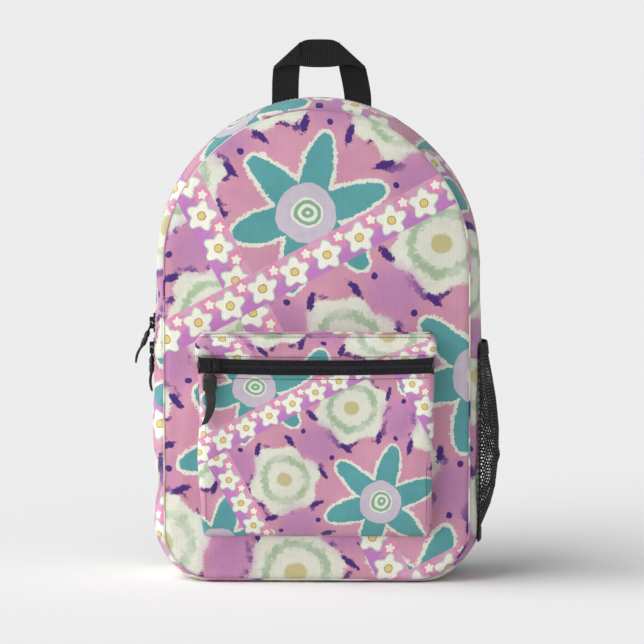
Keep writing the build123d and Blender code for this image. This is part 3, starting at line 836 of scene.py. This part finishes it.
def tooth_strip(name, path, out, across, body, shift=0.0, replaces=True):
    """A row of coil turns along a path. Each starts just past the zip's middle and runs across."""
    path, _ = resample(path, COIL_PITCH)
    out = out(path) if callable(out) else np.broadcast_to(np.asarray(out, float), path.shape)
    tangent = unit(np.gradient(path, axis=0))
    across = np.asarray(across, float)
    ring = [(0.52, 0.15), (0.30, 1.45), (-0.12, 1.85), (-0.5, 1.3), (-0.42, 0.15)]
    spots = [-0.75, -0.1, 1.5, 2.2, 3.8, 4.1]
    scale = [0.7, 1.15, 1.1, 0.62, 0.6, 0.4]
    verts, faces = [], []
    for p, o, t in zip(path, out, tangent):
        start = len(verts)
        for a, size in zip(spots, scale):
            for s, h in ring:
                along, up = s * size + shift + a * 0.06, 0.9 + (h - 0.9) * size
                verts.append(p + across * a + t * along + o * up)
        faces += grid_faces(len(spots), len(ring), start, wrap=True) + caps(len(spots), len(ring), start)
    add_piece(name, verts, faces, "zip_coil", body, np.zeros((len(verts), 2)), sharp=60, replaces=replaces)


def outward(path):
    """The bag's outward direction at points on its side, arch or other side."""
    centre = np.stack([np.zeros(len(path)), path[:, 1], np.full(len(path), ARCH_Z)], -1)
    radial = unit(path - centre)
    radial[:, 1] = 0
    sideways = np.stack([np.sign(path[:, 0]), 0 * path[:, 0], 0 * path[:, 0]], -1)
    return np.where(path[:, 2:] > ARCH_Z, unit(radial), sideways)


def build_main_zip():
    marks = spaced(side_mark(195.2), side_mark(195.2, True), 3.0)
    front_nodes = ["main_zip_front_tape", "main_zip_front_tape_ends"]
    for side, depths, body, nodes in (("front", np.array([-12.4, -11, -8, -5.4, -4.5]), FOLD, front_nodes),
                                      ("back", np.array([-3.5, -2.6, 0, 3, 4.6]), "bag", True)):
        uv = crossed(marks, depths)[..., ::-1]
        add_shell(f"main_zip_{side}_tape", bag_surface(marks, depths, -1.4), 0.9, uv, "zip_tape", body,
                  replaces=nodes)
    marks = spaced(side_mark(199.5), side_mark(199.5, True), 1.4)
    path = bag_surface(marks, np.array([-4.0, -3.0]), -1.5)[:, 0]
    tooth_strip("main_zip_front_coil", path, outward, FORWARD, FOLD,
                replaces=["main_zip_front_coil", "main_zip_front_coil_ends"])
    tooth_strip("main_zip_back_coil", path, outward, BACKWARD, "bag", COIL_STAGGER)
    marks = spaced(side_mark(206), side_mark(206, True), 3.0)
    for y, body, name in ((-14.6, FOLD, "front"), (6.8, "bag", "back")):
        path = bag_surface(marks, np.array([y, y + 1]), 0.1)[:, 0]
        stitches(f"main_zip_{name}_stitches", path, outward(path), body, gap=1.2)


POCKET_ZIP_Z = 201.0


def sag(x, z):
    """The pocket's zip and the cloth beside it hang a little lower in the middle."""
    near = ease(z, 165, 194) * ease(-z, -227, -209)
    return z - 2.2 * (1 - np.clip(np.abs(x) / 108, 0, 1) ** 2.4) * near


def build_pocket_zip():
    x = spaced(-106, 106, 4)
    for name, low, high in (("upper", 201.5, 209.0), ("lower", 193.2, 200.5)):
        uv = crossed(np.linspace(low, high, 5), x)
        y = -87.2 + 0.12 * np.abs(uv[..., 0] - POCKET_ZIP_Z)
        points = np.stack([uv[..., 1], y, sag(uv[..., 1], uv[..., 0])], -1)
        add_shell(f"pocket_zip_{name}_tape", points, 0.9, uv, "zip_tape", "bag", replaces=True)
    x = spaced(-103, 103, 1.45)
    path = np.stack([x, np.full_like(x, -87.3), sag(x, np.full_like(x, POCKET_ZIP_Z))], -1)
    tooth_strip("pocket_zip_upper_coil", path, FORWARD, (0, 0, 1), "bag")
    tooth_strip("pocket_zip_lower_coil", path, FORWARD, (0, 0, -1), "bag", COIL_STAGGER)


def build_pull(name, body, pivot, lean, out, length, bend):
    """A moulded pull: a square head with finger grooves, and a flat tail that tapers and curls. It hangs
    from the pivot and leans outward by some degrees."""
    c, s = math.cos(math.radians(lean)), math.sin(math.radians(lean))
    up, out = np.array([0, 0, 1.0]), np.asarray(out, float)
    down, face = out * s - up * c, out * c + up * s
    side = np.cross(down, face)
    stops = [(8.2, 2.6, 1.5), (8.9, 3.4, 1.7), (9.6, 5.6, 1.9), (10.6, 6.3, 2.2), (13.4, 6.4, 2.3),
             (14.0, 6.4, 1.7), (15.2, 6.4, 1.7), (15.8, 6.4, 2.3), (19.4, 6.4, 2.3), (21.4, 6.3, 2.2),
             (22.4, 5.7, 1.9), (23.4, 4.7, 1.4)]
    stops += [(d, 4.6 - 1.7 * ((d - 24) / (length - 24)) ** 1.3, 1.15) for d in spaced(26, length - 1.5, 2.5)]
    stops += [(length - 0.5, 2.8, 1.0), (length, 2.3, 0.7)]
    rows = []
    for d, half, thick in stops:
        t = max(0.0, (d - 22) / (length - 22))
        curl, bulge = t**2.4 - 0.35 * math.sin(t * math.pi), 1.5 * math.sin(t * math.pi)
        centre = pivot + down * d + side * bend * curl + face * bulge
        rows.append([centre + side * a + face * b + down * (0.35 * a * t**4)
                     for a, b in round_section(2 * half, 2 * thick, 0.45)])
    verts = np.array(rows)
    count, cols = verts.shape[:2]
    faces = grid_faces(count, cols, wrap=True) + caps(count, cols)
    add_piece(name, verts.reshape(-1, 3), faces, "pull_rubber", body, np.zeros((count * cols, 2)), sharp=35,
              replaces=True)


def build_pulls():
    pin_x, left = -153.7, (-1, 0, 0)
    build_pull("main_pull_tab_upper", "main_pull_upper", (pin_x, -4, 234), 22, left, 40, 1.5)
    build_pull("main_pull_tab_lower", "main_pull_lower", (pin_x, -4, 211), 0, left, 40, -1.0)
    build_pull("pocket_pull_tab", "pocket_pull", (-95.0, -94.6, POCKET_ZIP_Z), 0, FORWARD, 53, 5.0)


# ================================================================ front pocket
def pocket_grid(heights, half, front, radius=6.0, back=2.0):
    """A loft of the pocket: each row runs from the front panel, round a corner, across, and back."""
    rows = []
    for z in heights:
        w, r = half(z), radius
        yf_side = front(w - r, z)
        yb = front_depth(np.array(w), np.array(min(max(z, 20), 300))) + back
        wall = np.linspace(yb, yf_side + r, 6)[:-1]
        turn_by = np.radians(np.linspace(180, 270, 7))
        corner = np.stack([-w + r + r * np.cos(turn_by), yf_side + r + r * np.sin(turn_by)], -1)
        x = np.linspace(-w + r, w - r, 76)[1:-1]
        face = np.stack([x, front(x, z)], -1)
        left = np.vstack([np.stack([np.full(5, -w), wall], -1), corner])
        row = np.vstack([left, face, (left * [-1, 1])[::-1]])
        rows.append(np.column_stack([row, np.full(len(row), z)]))
    points = np.array(rows)
    middle = points.shape[1] // 2
    along = np.array([run_length(row[:, :2]) for row in rows])
    return points, along - along[:, middle : middle + 1]


def band_front(x, z):
    puff = np.interp(z, [207.5, 208.6, 210, 213, 217, 222, 226, 228.4, 229.6],
                     [-87.0, -88.2, -89.6, -90.8, -91.4, -90.8, -89.0, -87.0, -86.2])
    return puff + 1.2 * (np.abs(x) / 108) ** 4


def band_half(z):
    rise = max(0.0, z - 220.5)
    return 108.4 - (9 - math.sqrt(max(0.0, 81 - rise**2)))


def face_front(x, z):
    y = np.interp(z, [44, 46, 48, 51, 56, 64, 80, 120, 180, 190, 193, 194.4],
                  [-66.5, -69.5, -72.5, -75.8, -79.0, -81.6, -84.2, -86.6, -88.0, -88.4, -87.9, -86.8])
    belly = 2.6 * np.exp(-(((z - 96) / 42) ** 2)) * np.clip(1 - (np.abs(x) / 104) ** 2, 0, 1)
    return y - belly


def face_half(z):
    return 104.6 - 2.0 * math.exp(-(((z - 46) / 9) ** 2)) + 1.6 * math.exp(-(((z - 190) / 14) ** 2))


POCKET_FOLDS = [
    ((-96, 186), (-70, 150), 8, 1.3), ((94, 184), (66, 140), 9, 1.5), ((-20, 186), (10, 160), 12, 0.9),
    ((-98, 62), (-70, 84), 9, 1.6), ((98, 60), (74, 88), 9, 1.6), ((30, 60), (44, 110), 12, 0.9),
    ((88, 100), (98, 160), 7, 1.3), ((-96, 90), (-92, 140), 7, 1.1),
]


def build_pocket():
    heights = np.concatenate([[207.5, 208.6, 210], spaced(211.5, 226, 1.8), [227.2, 228.4, 229.2]])
    points, along = pocket_grid(heights, band_half, band_front)
    ledge = []
    last = points[-1].copy()
    for t in (0.12, 0.3, 0.55, 0.8, 1.0):
        row = last.copy()
        row[:, 1] = last[:, 1] + (np.maximum(last[:, 1], -66.0) - last[:, 1]) * t
        row[:, 2] = 229.6 + 0.9 * math.sin(t * math.pi) - 0.6 * t
        ledge.append(row)
    points = np.concatenate([points, np.array(ledge)])
    along = np.concatenate([along, np.repeat(along[-1:], 5, axis=0)])
    out = grid_normals(points)
    inner = ease(points[..., 2], 208, 213) * ease(-points[..., 2], -229, -224)
    points = rumple(points, out, 26, 1.8, 3.3, inner)
    points = rumple(points, out, 9, 0.8, 7.7, inner)
    points[..., 2] = sag(points[..., 0], points[..., 2])
    rise = np.concatenate([heights, 229.6 + np.array([3, 7, 12, 17, 21.0])])
    uv = np.stack(np.broadcast_arrays(along * 1.15 + 210, rise[:, None] * 1.9 + 60), -1)
    seam = np.minimum(rise - rise[0], np.abs(rise - 229.4))
    add_shell("pocket_top_band", points, 1.6, uv, "print_canvas", "bag", seam[:, None], True)
    edge = points[len(heights) - 1][5:-5].copy()
    verts, faces, flat = sweep(resample(edge + [0, 0.6, 0.5], 2.0)[0], (0, 0, 1), circle_section(1.25))
    # A seam distance of 1 mm darkens the whole cord with the canvas's painted seam shade.
    add_piece("pocket_top_cord", verts, faces, "print_canvas", "bag", flat, np.full(len(verts), 1.0))

    heights = np.concatenate([[44, 45, 46.4, 48, 50], spaced(53, 186, 3.0), [188.5, 190.4, 191.8, 193, 194]])
    points, along = pocket_grid(heights, face_half, face_front)
    out = grid_normals(points)
    x, z = points[..., 0], points[..., 2]
    inner = ease(z, 48, 62) * ease(-z, -192, -182)
    for a, b, width, height in POCKET_FOLDS:
        points = points + out * (fold_line(x, z, a, b, width, height) * inner)[..., None]
    points = rumple(points, out, 48, 2.6, 1.1, inner)
    low, high = np.exp(-(z - 46) / 9) * ease(z, 46, 49), np.exp((z - 192) / 7) * ease(-z, -193, -190)
    points = rumple(points, out, 9, 0.9, 9.2, low + high)
    points[..., 2] = sag(points[..., 0], points[..., 2])
    uv = np.stack([along * 1.4 + 70, np.broadcast_to(heights[:, None], along.shape) * 1.4 + 82], -1)
    seam = np.minimum(heights - heights[0], heights[-1] - heights)
    add_shell("pocket_face", points, 1.6, uv, "print_canvas", "bag", seam[:, None],
              ["pocket_face", "pocket_gusset_left", "pocket_gusset_right"])

    x = spaced(-103, 103, 2)
    for name, z, front in (("band_upper", 226.4, band_front), ("band_lower", 210.4, band_front),
                           ("face_upper", 190.4, face_front)):
        level = np.full_like(x, z)
        path = np.stack([x, front(x, level) - 0.35, sag(x, level)], -1)
        stitches(f"pocket_{name}_stitches", path, FORWARD, "bag", "thread_dark", gap=0.7, radius=0.24)
    z = spaced(56, 186, 2)
    x = np.full_like(z, 99.4)
    for side, name in ((-1, "left"), (1, "right")):
        path = np.stack([side * x, face_front(x, z) - 0.3, z], -1)
        stitches(f"pocket_side_stitches_{name}", path, FORWARD, "bag", "thread_dark", gap=0.7, radius=0.2)


# ================================================================ bottle pocket
def net_point(v, z):
    """The stretched net: v runs from -1 at the front edge to 1 at the back."""
    bulge = np.interp(z, [40, 46, 54, 68, 84, 110, 138, 165, 190, 208, 217],
                      [-3.0, 0.5, 4.0, 10.0, 14.0, 16.3, 16.2, 13.2, 9.0, 5.6, 4.6])
    fold = 1.2 * np.sin(v * 9 + z / 40) * ease(z, 70, 200) + 1.8 * np.exp(-(((z - 114 - v * 10) / 4.5) ** 2))
    y = v * 43.5
    side = 1.6 * np.exp(-(((z - 170) / 95) ** 2)) * np.cos(y / 60 * math.pi / 2)
    panel = np.interp(y, PROFILE[:, 0], PROFILE[:, 1]) + side
    x = panel + 1.0 + np.maximum(bulge - 1.4, -0.4) * (1 - np.abs(v) ** 2.6) + fold * (1 - v**2) * 0.8
    return np.stack(np.broadcast_arrays(x, y, z), -1)


def build_bottle_pocket():
    pitch_v, pitch_z = 3.4 / 48, 2.95
    rows = int((207 - 44) / pitch_z)
    cols = int(2 / pitch_v)
    verts, faces, uv = [], [], []
    for i in range(rows):
        for j in range(cols):
            centre_v = -1 + (j + 0.5 + 0.5 * (i % 2)) * pitch_v
            centre_z = 44 + (i + 0.5) * pitch_z
            start = len(verts)
            for size in (1.0, 0.70):
                for k in range(6):
                    a = math.radians(60 * k + 30)
                    v = np.clip(centre_v + pitch_v * 0.5774 * size * math.cos(a), -1, 1)
                    z = centre_z + pitch_z * 0.667 * size * math.sin(a)
                    p = net_point(v, z)
                    verts.append(p)
                    uv.append((v * 48, z))
            faces += [(start + k, start + (k + 1) % 6, start + 6 + (k + 1) % 6, start + 6 + k) for k in range(6)]
    net = add_piece("bottle_pocket_net", verts, faces, "net", "bag", uv, sharp=80, replaces=True)
    weld = net.modifiers.new("weld", "WELD")
    weld.merge_threshold = 0.05 * MM
    solid = net.modifiers.new("solid", "SOLIDIFY")
    solid.thickness = 0.55 * MM
    z = np.array([206.5, 207, 208, 210, 213, 216, 217, 217.5])
    v = np.linspace(-1, 1, 61)
    points = net_point(v[None, :], z[:, None])
    points[..., 0] += 0.9 + 0.5 * np.sin(v * 42)[None, :] * np.array([0, 0.4, 1, 1, 1, 1, 0.4, 0])[:, None]
    uv = crossed(z, v * 48)[..., ::-1]
    add_shell("bottle_pocket_elastic_hem", points, 2.0, uv, "binding", "bag", replaces=True)
    z = np.array([36, 38, 40.5, 43, 45])
    points = net_point(v[None, :] * 0.98, z[:, None])
    points[..., 0] += 0.7
    uv = crossed(z, v * 48)[..., ::-1]
    add_shell("bottle_pocket_foot", points, 1.4, uv, "binding", "bag", replaces=True)
    z = spaced(38, 217, 3)
    for side, name in ((-1, "front"), (1, "back")):
        path = net_point(np.full_like(z, side * 0.985), z) + [0.8, 0, 0]
        verts, faces, flat = sweep(path, (1, 0, 0), round_section(7, 1.3))
        add_piece(f"bottle_pocket_binding_{name}", verts, faces, "binding", "bag", flat)


# ================================================================ handle
def build_handle():
    """Folded webbing: upright legs, turned over on the diagonal into the cross band before them."""
    swing = ("bag", "top_handle", (0, 0.049, 0.432), (0, 0.049, 0.444))
    for side, name in ((-1, "left"), (1, "right")):
        level = np.linspace(0, 1, 90)
        x = (side * 31.5 + 12.5 * side * np.linspace(-1, 1, 14))[None, :] + 0 * level[:, None]
        top = np.minimum(513.5 - np.abs(x), 494.5) - 0.8
        z = 430 + (top - 430) * level[:, None]
        y = 48.2 - 1.6 * ease(z, 466, 490) + 0.8 * np.sin(z / 9.0 + side) * ease(-z, -472, -450)
        y = y + 0.5 * np.cos((np.abs(x) - 31.5) / 12.5 * 2) * ease(z, 436, 450)
        shift = (4.5 if side > 0 else -0.4) * ease(-z, -474, -438) - 1.2 * side * ease(z, 455, 480)
        points, uv = np.stack([x + shift, y, z], -1), np.stack([x, z], -1)
        add_shell(f"handle_leg_{name}", points, 1.7, uv, "webbing", swing,
                  replaces=["top_handle", "handle_seam_tabs"] if side < 0 else [])
    across = np.linspace(0, 1, 18)
    x = np.linspace(-42.8, 42.8, 121)
    over = np.abs(x)
    low = 470.0 + 2.2 * np.exp(-(((over - 27) / 12) ** 2)) - 2.0 * ease(over, 30, 43)
    high = 496.0 - np.log1p(np.exp((over - 15.5) / 2.6)) * 2.6 * 0.92
    high = np.maximum(high, low + 0.4)
    z = low[None, :] + (high - low)[None, :] * across[:, None]
    xs = np.broadcast_to(x[None, :], z.shape)
    roll = np.exp(-((high[None, :] - z) / 1.6)) * ease(over, 12, 20)[None, :]
    y = 45.9 + 2.0 * roll - 0.9 * np.cos(xs / 44 * math.pi / 2) + 0.5 * np.cos((z - 483) / 12 * 2.4)
    uv = np.stack([z, xs], -1)
    add_shell("handle_cross_band", np.stack([xs, y, z], -1), 1.7, uv, "webbing", "top_handle")


# ================================================================ shoulder straps
TOP = np.array([46.0, 66.0, 402.0])
FOOT = np.array([118.0, 66.0, 24.0])
SPAN = np.linalg.norm(FOOT - TOP)
PAD_LENGTH = 268
DOWN = (FOOT - TOP) / SPAN
SIDE = np.array([-DOWN[2], 0, DOWN[0]])


def strap_path(points, rounds=3):
    """Row-frame points of (offset from the back, distance down the strap, sideways) triples."""
    path = smooth_path(points, rounds)
    return TOP + DOWN * path[:, 1:2] + BACKWARD * path[:, :1] + SIDE * path[:, 2:3]


def both_straps(name, verts, faces, uv, material, ends=None, replaces=(), fill=None, sharp=40):
    """Adds a right strap's piece and its mirror image, on the strap. With ends the piece is left unattached."""
    for side, sign in (("right", 1), ("left", -1)):
        body = f"{side}_strap"
        if ends:
            body = ("bag", body, *[(sign * x, y, z) for x, y, z in ends])
        piece = add_piece(f"{side}_{name}", np.asarray(verts) * [sign, 1, 1],
                          faces if sign > 0 else [face[::-1] for face in faces], material, body, uv,
                          sharp=sharp, replaces=[f"{side}_{node}" for node in replaces])


def pad_section(width, thick, count=36):
    """A quilted pad's section: full in the middle, pinched thin at its bound edges."""
    ring = []
    for k in range(count):
        a = TAU * k / count
        x = math.copysign(abs(math.cos(a)) ** 0.75, math.cos(a)) * width / 2
        edge = min(1.0, abs(x) / (width / 2))
        full = thick / 2 * (1 - 0.62 * edge**5)
        ring.append((x, math.copysign(abs(math.sin(a)) ** 0.6, math.sin(a)) * full))
    return ring


def point_on(offset, down):
    return tuple((TOP + DOWN * down + BACKWARD * offset) * MM)


def inflate(verts, faces, voxel, cap, pressure=4.0):
    """Swells a closed form as cloth under pressure. No point moves further than cap; lengths in mm."""
    mesh = bpy.data.meshes.new("swell")
    mesh.from_pydata((np.asarray(verts) * MM).tolist(), [], faces)
    form = bpy.data.objects.new("swell", mesh)
    bpy.context.collection.objects.link(form)
    remesh = form.modifiers.new("remesh", "REMESH")
    remesh.mode = "VOXEL"
    remesh.voxel_size = voxel * MM
    form.data = bpy.data.meshes.new_from_object(form.evaluated_get(bpy.context.evaluated_depsgraph_get()))
    form.modifiers.clear()
    start = vertex_places(form.data)
    cloth = form.modifiers.new("cloth", "CLOTH")
    cloth.settings.quality = 5
    cloth.settings.use_pressure = True
    cloth.settings.uniform_pressure_force = pressure
    cloth.settings.effector_weights.gravity = 0
    for frame_number in range(1, 21):
        bpy.context.scene.frame_set(frame_number)
    swollen = vertex_places(form.evaluated_get(bpy.context.evaluated_depsgraph_get()).data)
    bpy.context.scene.frame_set(1)
    move = swollen - start
    length = np.linalg.norm(move, axis=1, keepdims=True)
    form.modifiers.clear()
    move *= np.minimum(1, cap * MM / np.maximum(length, 1e-9))
    form.data.vertices.foreach_set("co", (start + move).ravel())
    form.data.update()
    form.modifiers.new("finer", "SUBSURF").levels = 1
    done = bpy.data.meshes.new_from_object(form.evaluated_get(bpy.context.evaluated_depsgraph_get()))
    result = vertex_places(done) / MM, [tuple(polygon.vertices) for polygon in done.polygons]
    bpy.data.objects.remove(form)
    return result


def vertex_places(mesh):
    places = np.zeros(3 * len(mesh.vertices), np.float32)
    mesh.vertices.foreach_get("co", places)
    return places.reshape(-1, 3).astype(float)


def build_straps():
    line = [(-4, -8, 0), (4, 2, 0), (24, 28, 0), (36, 60, 0), (40, 110, 0), (40, 170, 0), (39, 225, 0),
            (34.5, PAD_LENGTH, 0)]
    path, at = resample(strap_path(line), 4.0)
    path, _, side, _ = frames_along(path, BACKWARD)
    sections = []
    for d in at:
        taper = 1 - 0.12 * ease(d, at[-1] - 90, at[-1])
        round_end = math.sqrt(max(0.05, 1 - max(0.0, (d - at[-1] + 9) / 9.5) ** 2))
        quilt = 1 - 0.10 * math.exp(-(((d % 46) - 23) / 3.0) ** 2)
        sections.append(np.array(pad_section(60 * taper * round_end, 9.4 * quilt)))
    verts, faces, uv = sweep(path, BACKWARD, np.array(sections))
    ends = (point_on(20, 22), point_on(33, 62))
    verts, faces = inflate(verts, faces, 3.6, 2.2)
    down = (verts - TOP) @ DOWN
    centre = np.interp(down, (path - TOP) @ DOWN, path[:, 1])
    quilt = 1 - 0.22 * np.exp(-(((down - 20) % 46 - 23) / 2.6) ** 2) * ease(down, 40, 60)
    verts[:, 1] = centre + (verts[:, 1] - centre) * quilt
    uv = np.stack([(verts - TOP) @ SIDE, down], -1)
    both_straps("strap_pad", verts, faces, uv, "air_mesh", ends, ["strap_root", "strap_pad"], 0.8, 60)
    offsets = np.stack([(verts - TOP) @ SIDE, (verts - TOP) @ DOWN], -1)
    for name, sign in (("inner", -1), ("outer", 1)):
        reach = [max(sign * offsets[np.abs(offsets[:, 1] - d) < 5, 0]) for d in (path - TOP) @ DOWN]
        reach = np.convolve(np.pad(reach, 2, "edge"), np.ones(5) / 5, "valid")
        edge = path + side * (sign * (reach - 0.6))[:, None]
        both_straps(f"strap_binding_{name}", *sweep(edge, BACKWARD, round_section(3.2, 5.6, 0.3)), "binding", ends,
                    sharp=60)
    top = PAD_LENGTH + 5
    bar = top + 26 * 0.06
    loop = [(37.9, 246, 0), (37.9, 262, 0), (37.4, bar + 5.0, 0), (30.6, bar + 5.0, 0), (30.9, 262, 0),
            (30.9, 250, 0)]
    grip = top + 13
    lower = [(13.2, 360.5, 0), (15.5, 350, 0), (21, 337, 0), (29, 316, 0), (30.6, grip + 16, 0),
             (30.6, grip - 3.2, 0), (37.4, grip - 3.2, 0), (38.2, grip + 20, 0), (36, grip + 66, 0)]
    both_straps("lock_loop_webbing", *turned_band(loop, 25), "webbing", replaces=["lock_loop_webbing"])
    both_straps("lower_webbing", *turned_band(lower, 25), "webbing", replaces=["lower_webbing"])
    tab = [(14.2, SPAN - 31.5, 0), (12.2, SPAN - 25, 0), (8, SPAN - 14, 0), (2.0, SPAN - 3, 0),
           (-3.0, SPAN + 2, 0)]
    ends = (point_on(3, SPAN - 5), point_on(12, SPAN - 25))
    both_straps("corner_tab", *turned_band(tab, 34, 2.2), "webbing", ends, ["corner_tab"])


def turned_band(points, width, thick=1.4):
    """A band that may double back on itself: its width stays along the strap's sideways direction."""
    path = resample(strap_path(points, 3), 1.2)[0]
    tangent = unit(np.gradient(path, axis=0))
    normal = unit(np.cross(SIDE, tangent))
    ring = round_section(width, thick, 0.4)
    verts = np.array([[p + SIDE * a + n * b for a, b in ring] for p, n in zip(path, normal)])
    rows, cols = verts.shape[:2]
    faces = grid_faces(rows, cols, wrap=True) + caps(rows, cols)
    uv = crossed(run_length(path), np.array(ring)[:, 0])[..., ::-1]
    return verts.reshape(-1, 3), faces, uv.reshape(-1, 2)


# ================================================================ back and inside
def build_back():
    x, z = panel_grid(139.6, 5.0, 81, 3.6)
    inside = arch_depth(x, z, 139.6, 5.0)
    puff = ease(inside, 1, 16)
    channel = np.exp(-(((np.abs(x) - 34) / 5.0) ** 2)) * ease(inside, 12, 30)
    for level in (120, 236, 330):
        groove = np.exp(-(((z - level + 0.10 * np.abs(x)) / 4.5) ** 2)) * ease(inside, 12, 30) * (np.abs(x) > 30)
        channel = np.maximum(channel, groove)
    y = 57.5 + 6.4 * puff - 3.2 * channel
    points = np.stack([x, y, z], -1)
    points = rumple(points, BACKWARD, 50, 1.4, 5.5, puff)
    uv = np.stack([x, z], -1)
    pad = add_shell("back_panel", points[:, ::-1], 2.4, uv[:, ::-1], "air_mesh", "bag", inside[:, ::-1],
                    ["back_panel", "back_foam"])
    path = outline_path(141.0, 3.8, 56.5, 0, MARKS[-1] - 1.0, 2.5)
    v, f, u = sweep(np.vstack([path, path[:1]]), BACKWARD, round_section(5.0, 6.5, 0.42), close=False)
    add_piece("back_binding", v, f, "binding", "bag", u)
    yoke_z = np.linspace(384, 416, 12)
    half = 84 - (yoke_z - 384) * 0.50
    x = half[:, None] * np.linspace(-1, 1, 41)[None, :]
    z = np.broadcast_to(yoke_z[:, None], x.shape)
    y = 65.4 - 0.8 * np.abs(np.linspace(-1, 1, 41))[None, :] ** 6 - 0.9 * np.abs((z - 400) / 16) ** 6
    points = np.stack([x, y, z], -1)
    add_shell("strap_yoke", points[:, ::-1], 1.4, np.stack([x + 30, z], -1)[:, ::-1], "print_canvas", "bag",
              np.minimum(z - 384, 416 - z)[:, ::-1], True)
    path = np.stack([np.linspace(-80, 80, 60), np.full(60, 65.4), np.full(60, 387.0)], -1)
    stitches("yoke_stitches", path, BACKWARD, "bag")


def build_inside():
    x, z = panel_grid(138.5, 7.0, 33, 7.0)
    points = np.stack([x, 54.6 + 0 * x, z], -1)
    points = rumple(points, FORWARD, 60, 0.8, 3.0, ease(arch_depth(x, z, 138.5, 7.0), 4, 20))
    add_shell("back_lining", points, 0.8, np.stack([x, z], -1), "lining", "bag", replaces=True)
    heights = np.concatenate([[12, 13], spaced(16, 290, 6)])
    z, u = np.moveaxis(crossed(heights, np.linspace(-1, 1, 61)), -1, 0)
    x = u * np.minimum(117.0, 100 + (z - 8) * 0.9)
    y = 43.4 + 9.5 * np.abs(u) ** 16 + 1.2 * np.exp(-((z - 286) / 30) ** 2) * np.cos(u * 7)
    points = rumple(np.stack([x, y, z], -1), FORWARD, 50, 1.6, 6.0, ease(np.abs(x), 118, 90))
    add_shell("laptop_sleeve", points, 1.4, np.stack([x, z], -1), "lining", "bag", replaces=True)
    verts, faces, flat = sweep(points[-1] + [0, -0.4, 2.5], (0, 0, 1), round_section(3.4, 8.0, 0.4))
    add_piece("sleeve_binding", verts, faces, "binding", "bag", flat, replaces=True)


def dress_cad_nodes():
    """Gives the hard nodes that stay as they are in CAD their materials."""
    looks = {"slider": "slider_metal", "bail": "slider_metal", "stops": "zip_coil", "ladder_lock": "lock_plastic"}
    for name, node in frame["nodes"].items():
        look = next((looks[kind] for kind in looks if kind in name), None)
        if look:
            node.data.materials.clear()
            node.data.materials.append(MATERIAL[look])


# ================================================================ camera and light
METRES_PER_PIXEL, PHOTO_WIDTH = 0.000924, 644


def toward(azimuth, elevation):
    """The direction from the bag at some degrees round from its front and above the floor."""
    azimuth, elevation = math.radians(azimuth), math.radians(elevation)
    flat = math.cos(elevation)
    return Vector((math.sin(azimuth) * flat, -math.cos(azimuth) * flat, math.sin(elevation)))


def build_stage():
    """A pale floor that fades into an even, slightly cool studio surround, and two soft suns."""
    floor = bpy.data.materials.new("floor")
    floor.use_nodes = True
    inputs = floor.node_tree.nodes["Principled BSDF"].inputs
    inputs["Base Color"].default_value = (0.985, 0.985, 0.985, 1)
    inputs["Roughness"].default_value = 0.95
    inputs["Specular IOR Level"].default_value = 0.1
    mesh = bpy.data.meshes.new("floor")
    ring = [(40 * math.cos(TAU * k / 64), 40 * math.sin(TAU * k / 64), 0) for k in range(64)]
    mesh.from_pydata(ring, [], [tuple(range(64))])
    ground = bpy.data.objects.new("floor", mesh)
    bpy.context.collection.objects.link(ground)
    mesh.materials.append(floor)
    for name, azimuth, elevation, spread, power in (("key", -62, 35, 72, 2.95), ("fill", 20, 30, 80, 0.15)):
        light = bpy.data.lights.new(name, "SUN")
        light.angle = math.radians(spread)
        light.energy = power
        lamp = bpy.data.objects.new(name, light)
        lamp.rotation_euler = toward(azimuth, elevation).to_track_quat("Z", "Y").to_euler()
        bpy.context.collection.objects.link(lamp)
    world = bpy.data.worlds.new("studio")
    world.use_nodes = True
    tree = world.node_tree
    place = tree.nodes.new("ShaderNodeTexCoord")
    split = tree.nodes.new("ShaderNodeSeparateXYZ")
    tree.links.new(place.outputs["Generated"], split.inputs[0])
    aside, level = Field(tree, split.outputs[0]), Field(tree, split.outputs[2])
    inputs = tree.nodes["Background"].inputs
    inputs["Color"].default_value = (0.995, 0.995, 1.0, 1)
    above = level.step(0.6, 0.12) * 0.585 + 0.26
    put(tree, inputs["Strength"], above * (1.0 - aside.step(0.1, 0.9) * 0.5))
    bpy.context.scene.world = world
    bpy.context.scene.view_settings.view_transform = "Standard"


def build_camera():
    data = bpy.data.cameras.new("camera")
    camera = bpy.data.objects.new("camera", data)
    distance, aim, back = 3.0, Vector((0.0035, 0, 0.2345)), toward(1.3, 3.5)
    camera.location = aim + back * distance
    camera.rotation_euler = (-back).to_track_quat("-Z", "Y").to_euler()
    data.sensor_width = 36
    data.lens = 36 * distance / (PHOTO_WIDTH * METRES_PER_PIXEL)
    bpy.context.collection.objects.link(camera)
    bpy.context.scene.camera = camera


build_gusset()
build_front_panel()
build_seams()
build_main_zip()
build_pocket_zip()
build_pulls()
build_pocket()
build_bottle_pocket()
build_handle()
build_straps()
build_back()
build_inside()
dress_cad_nodes()
build_stage()
build_camera()
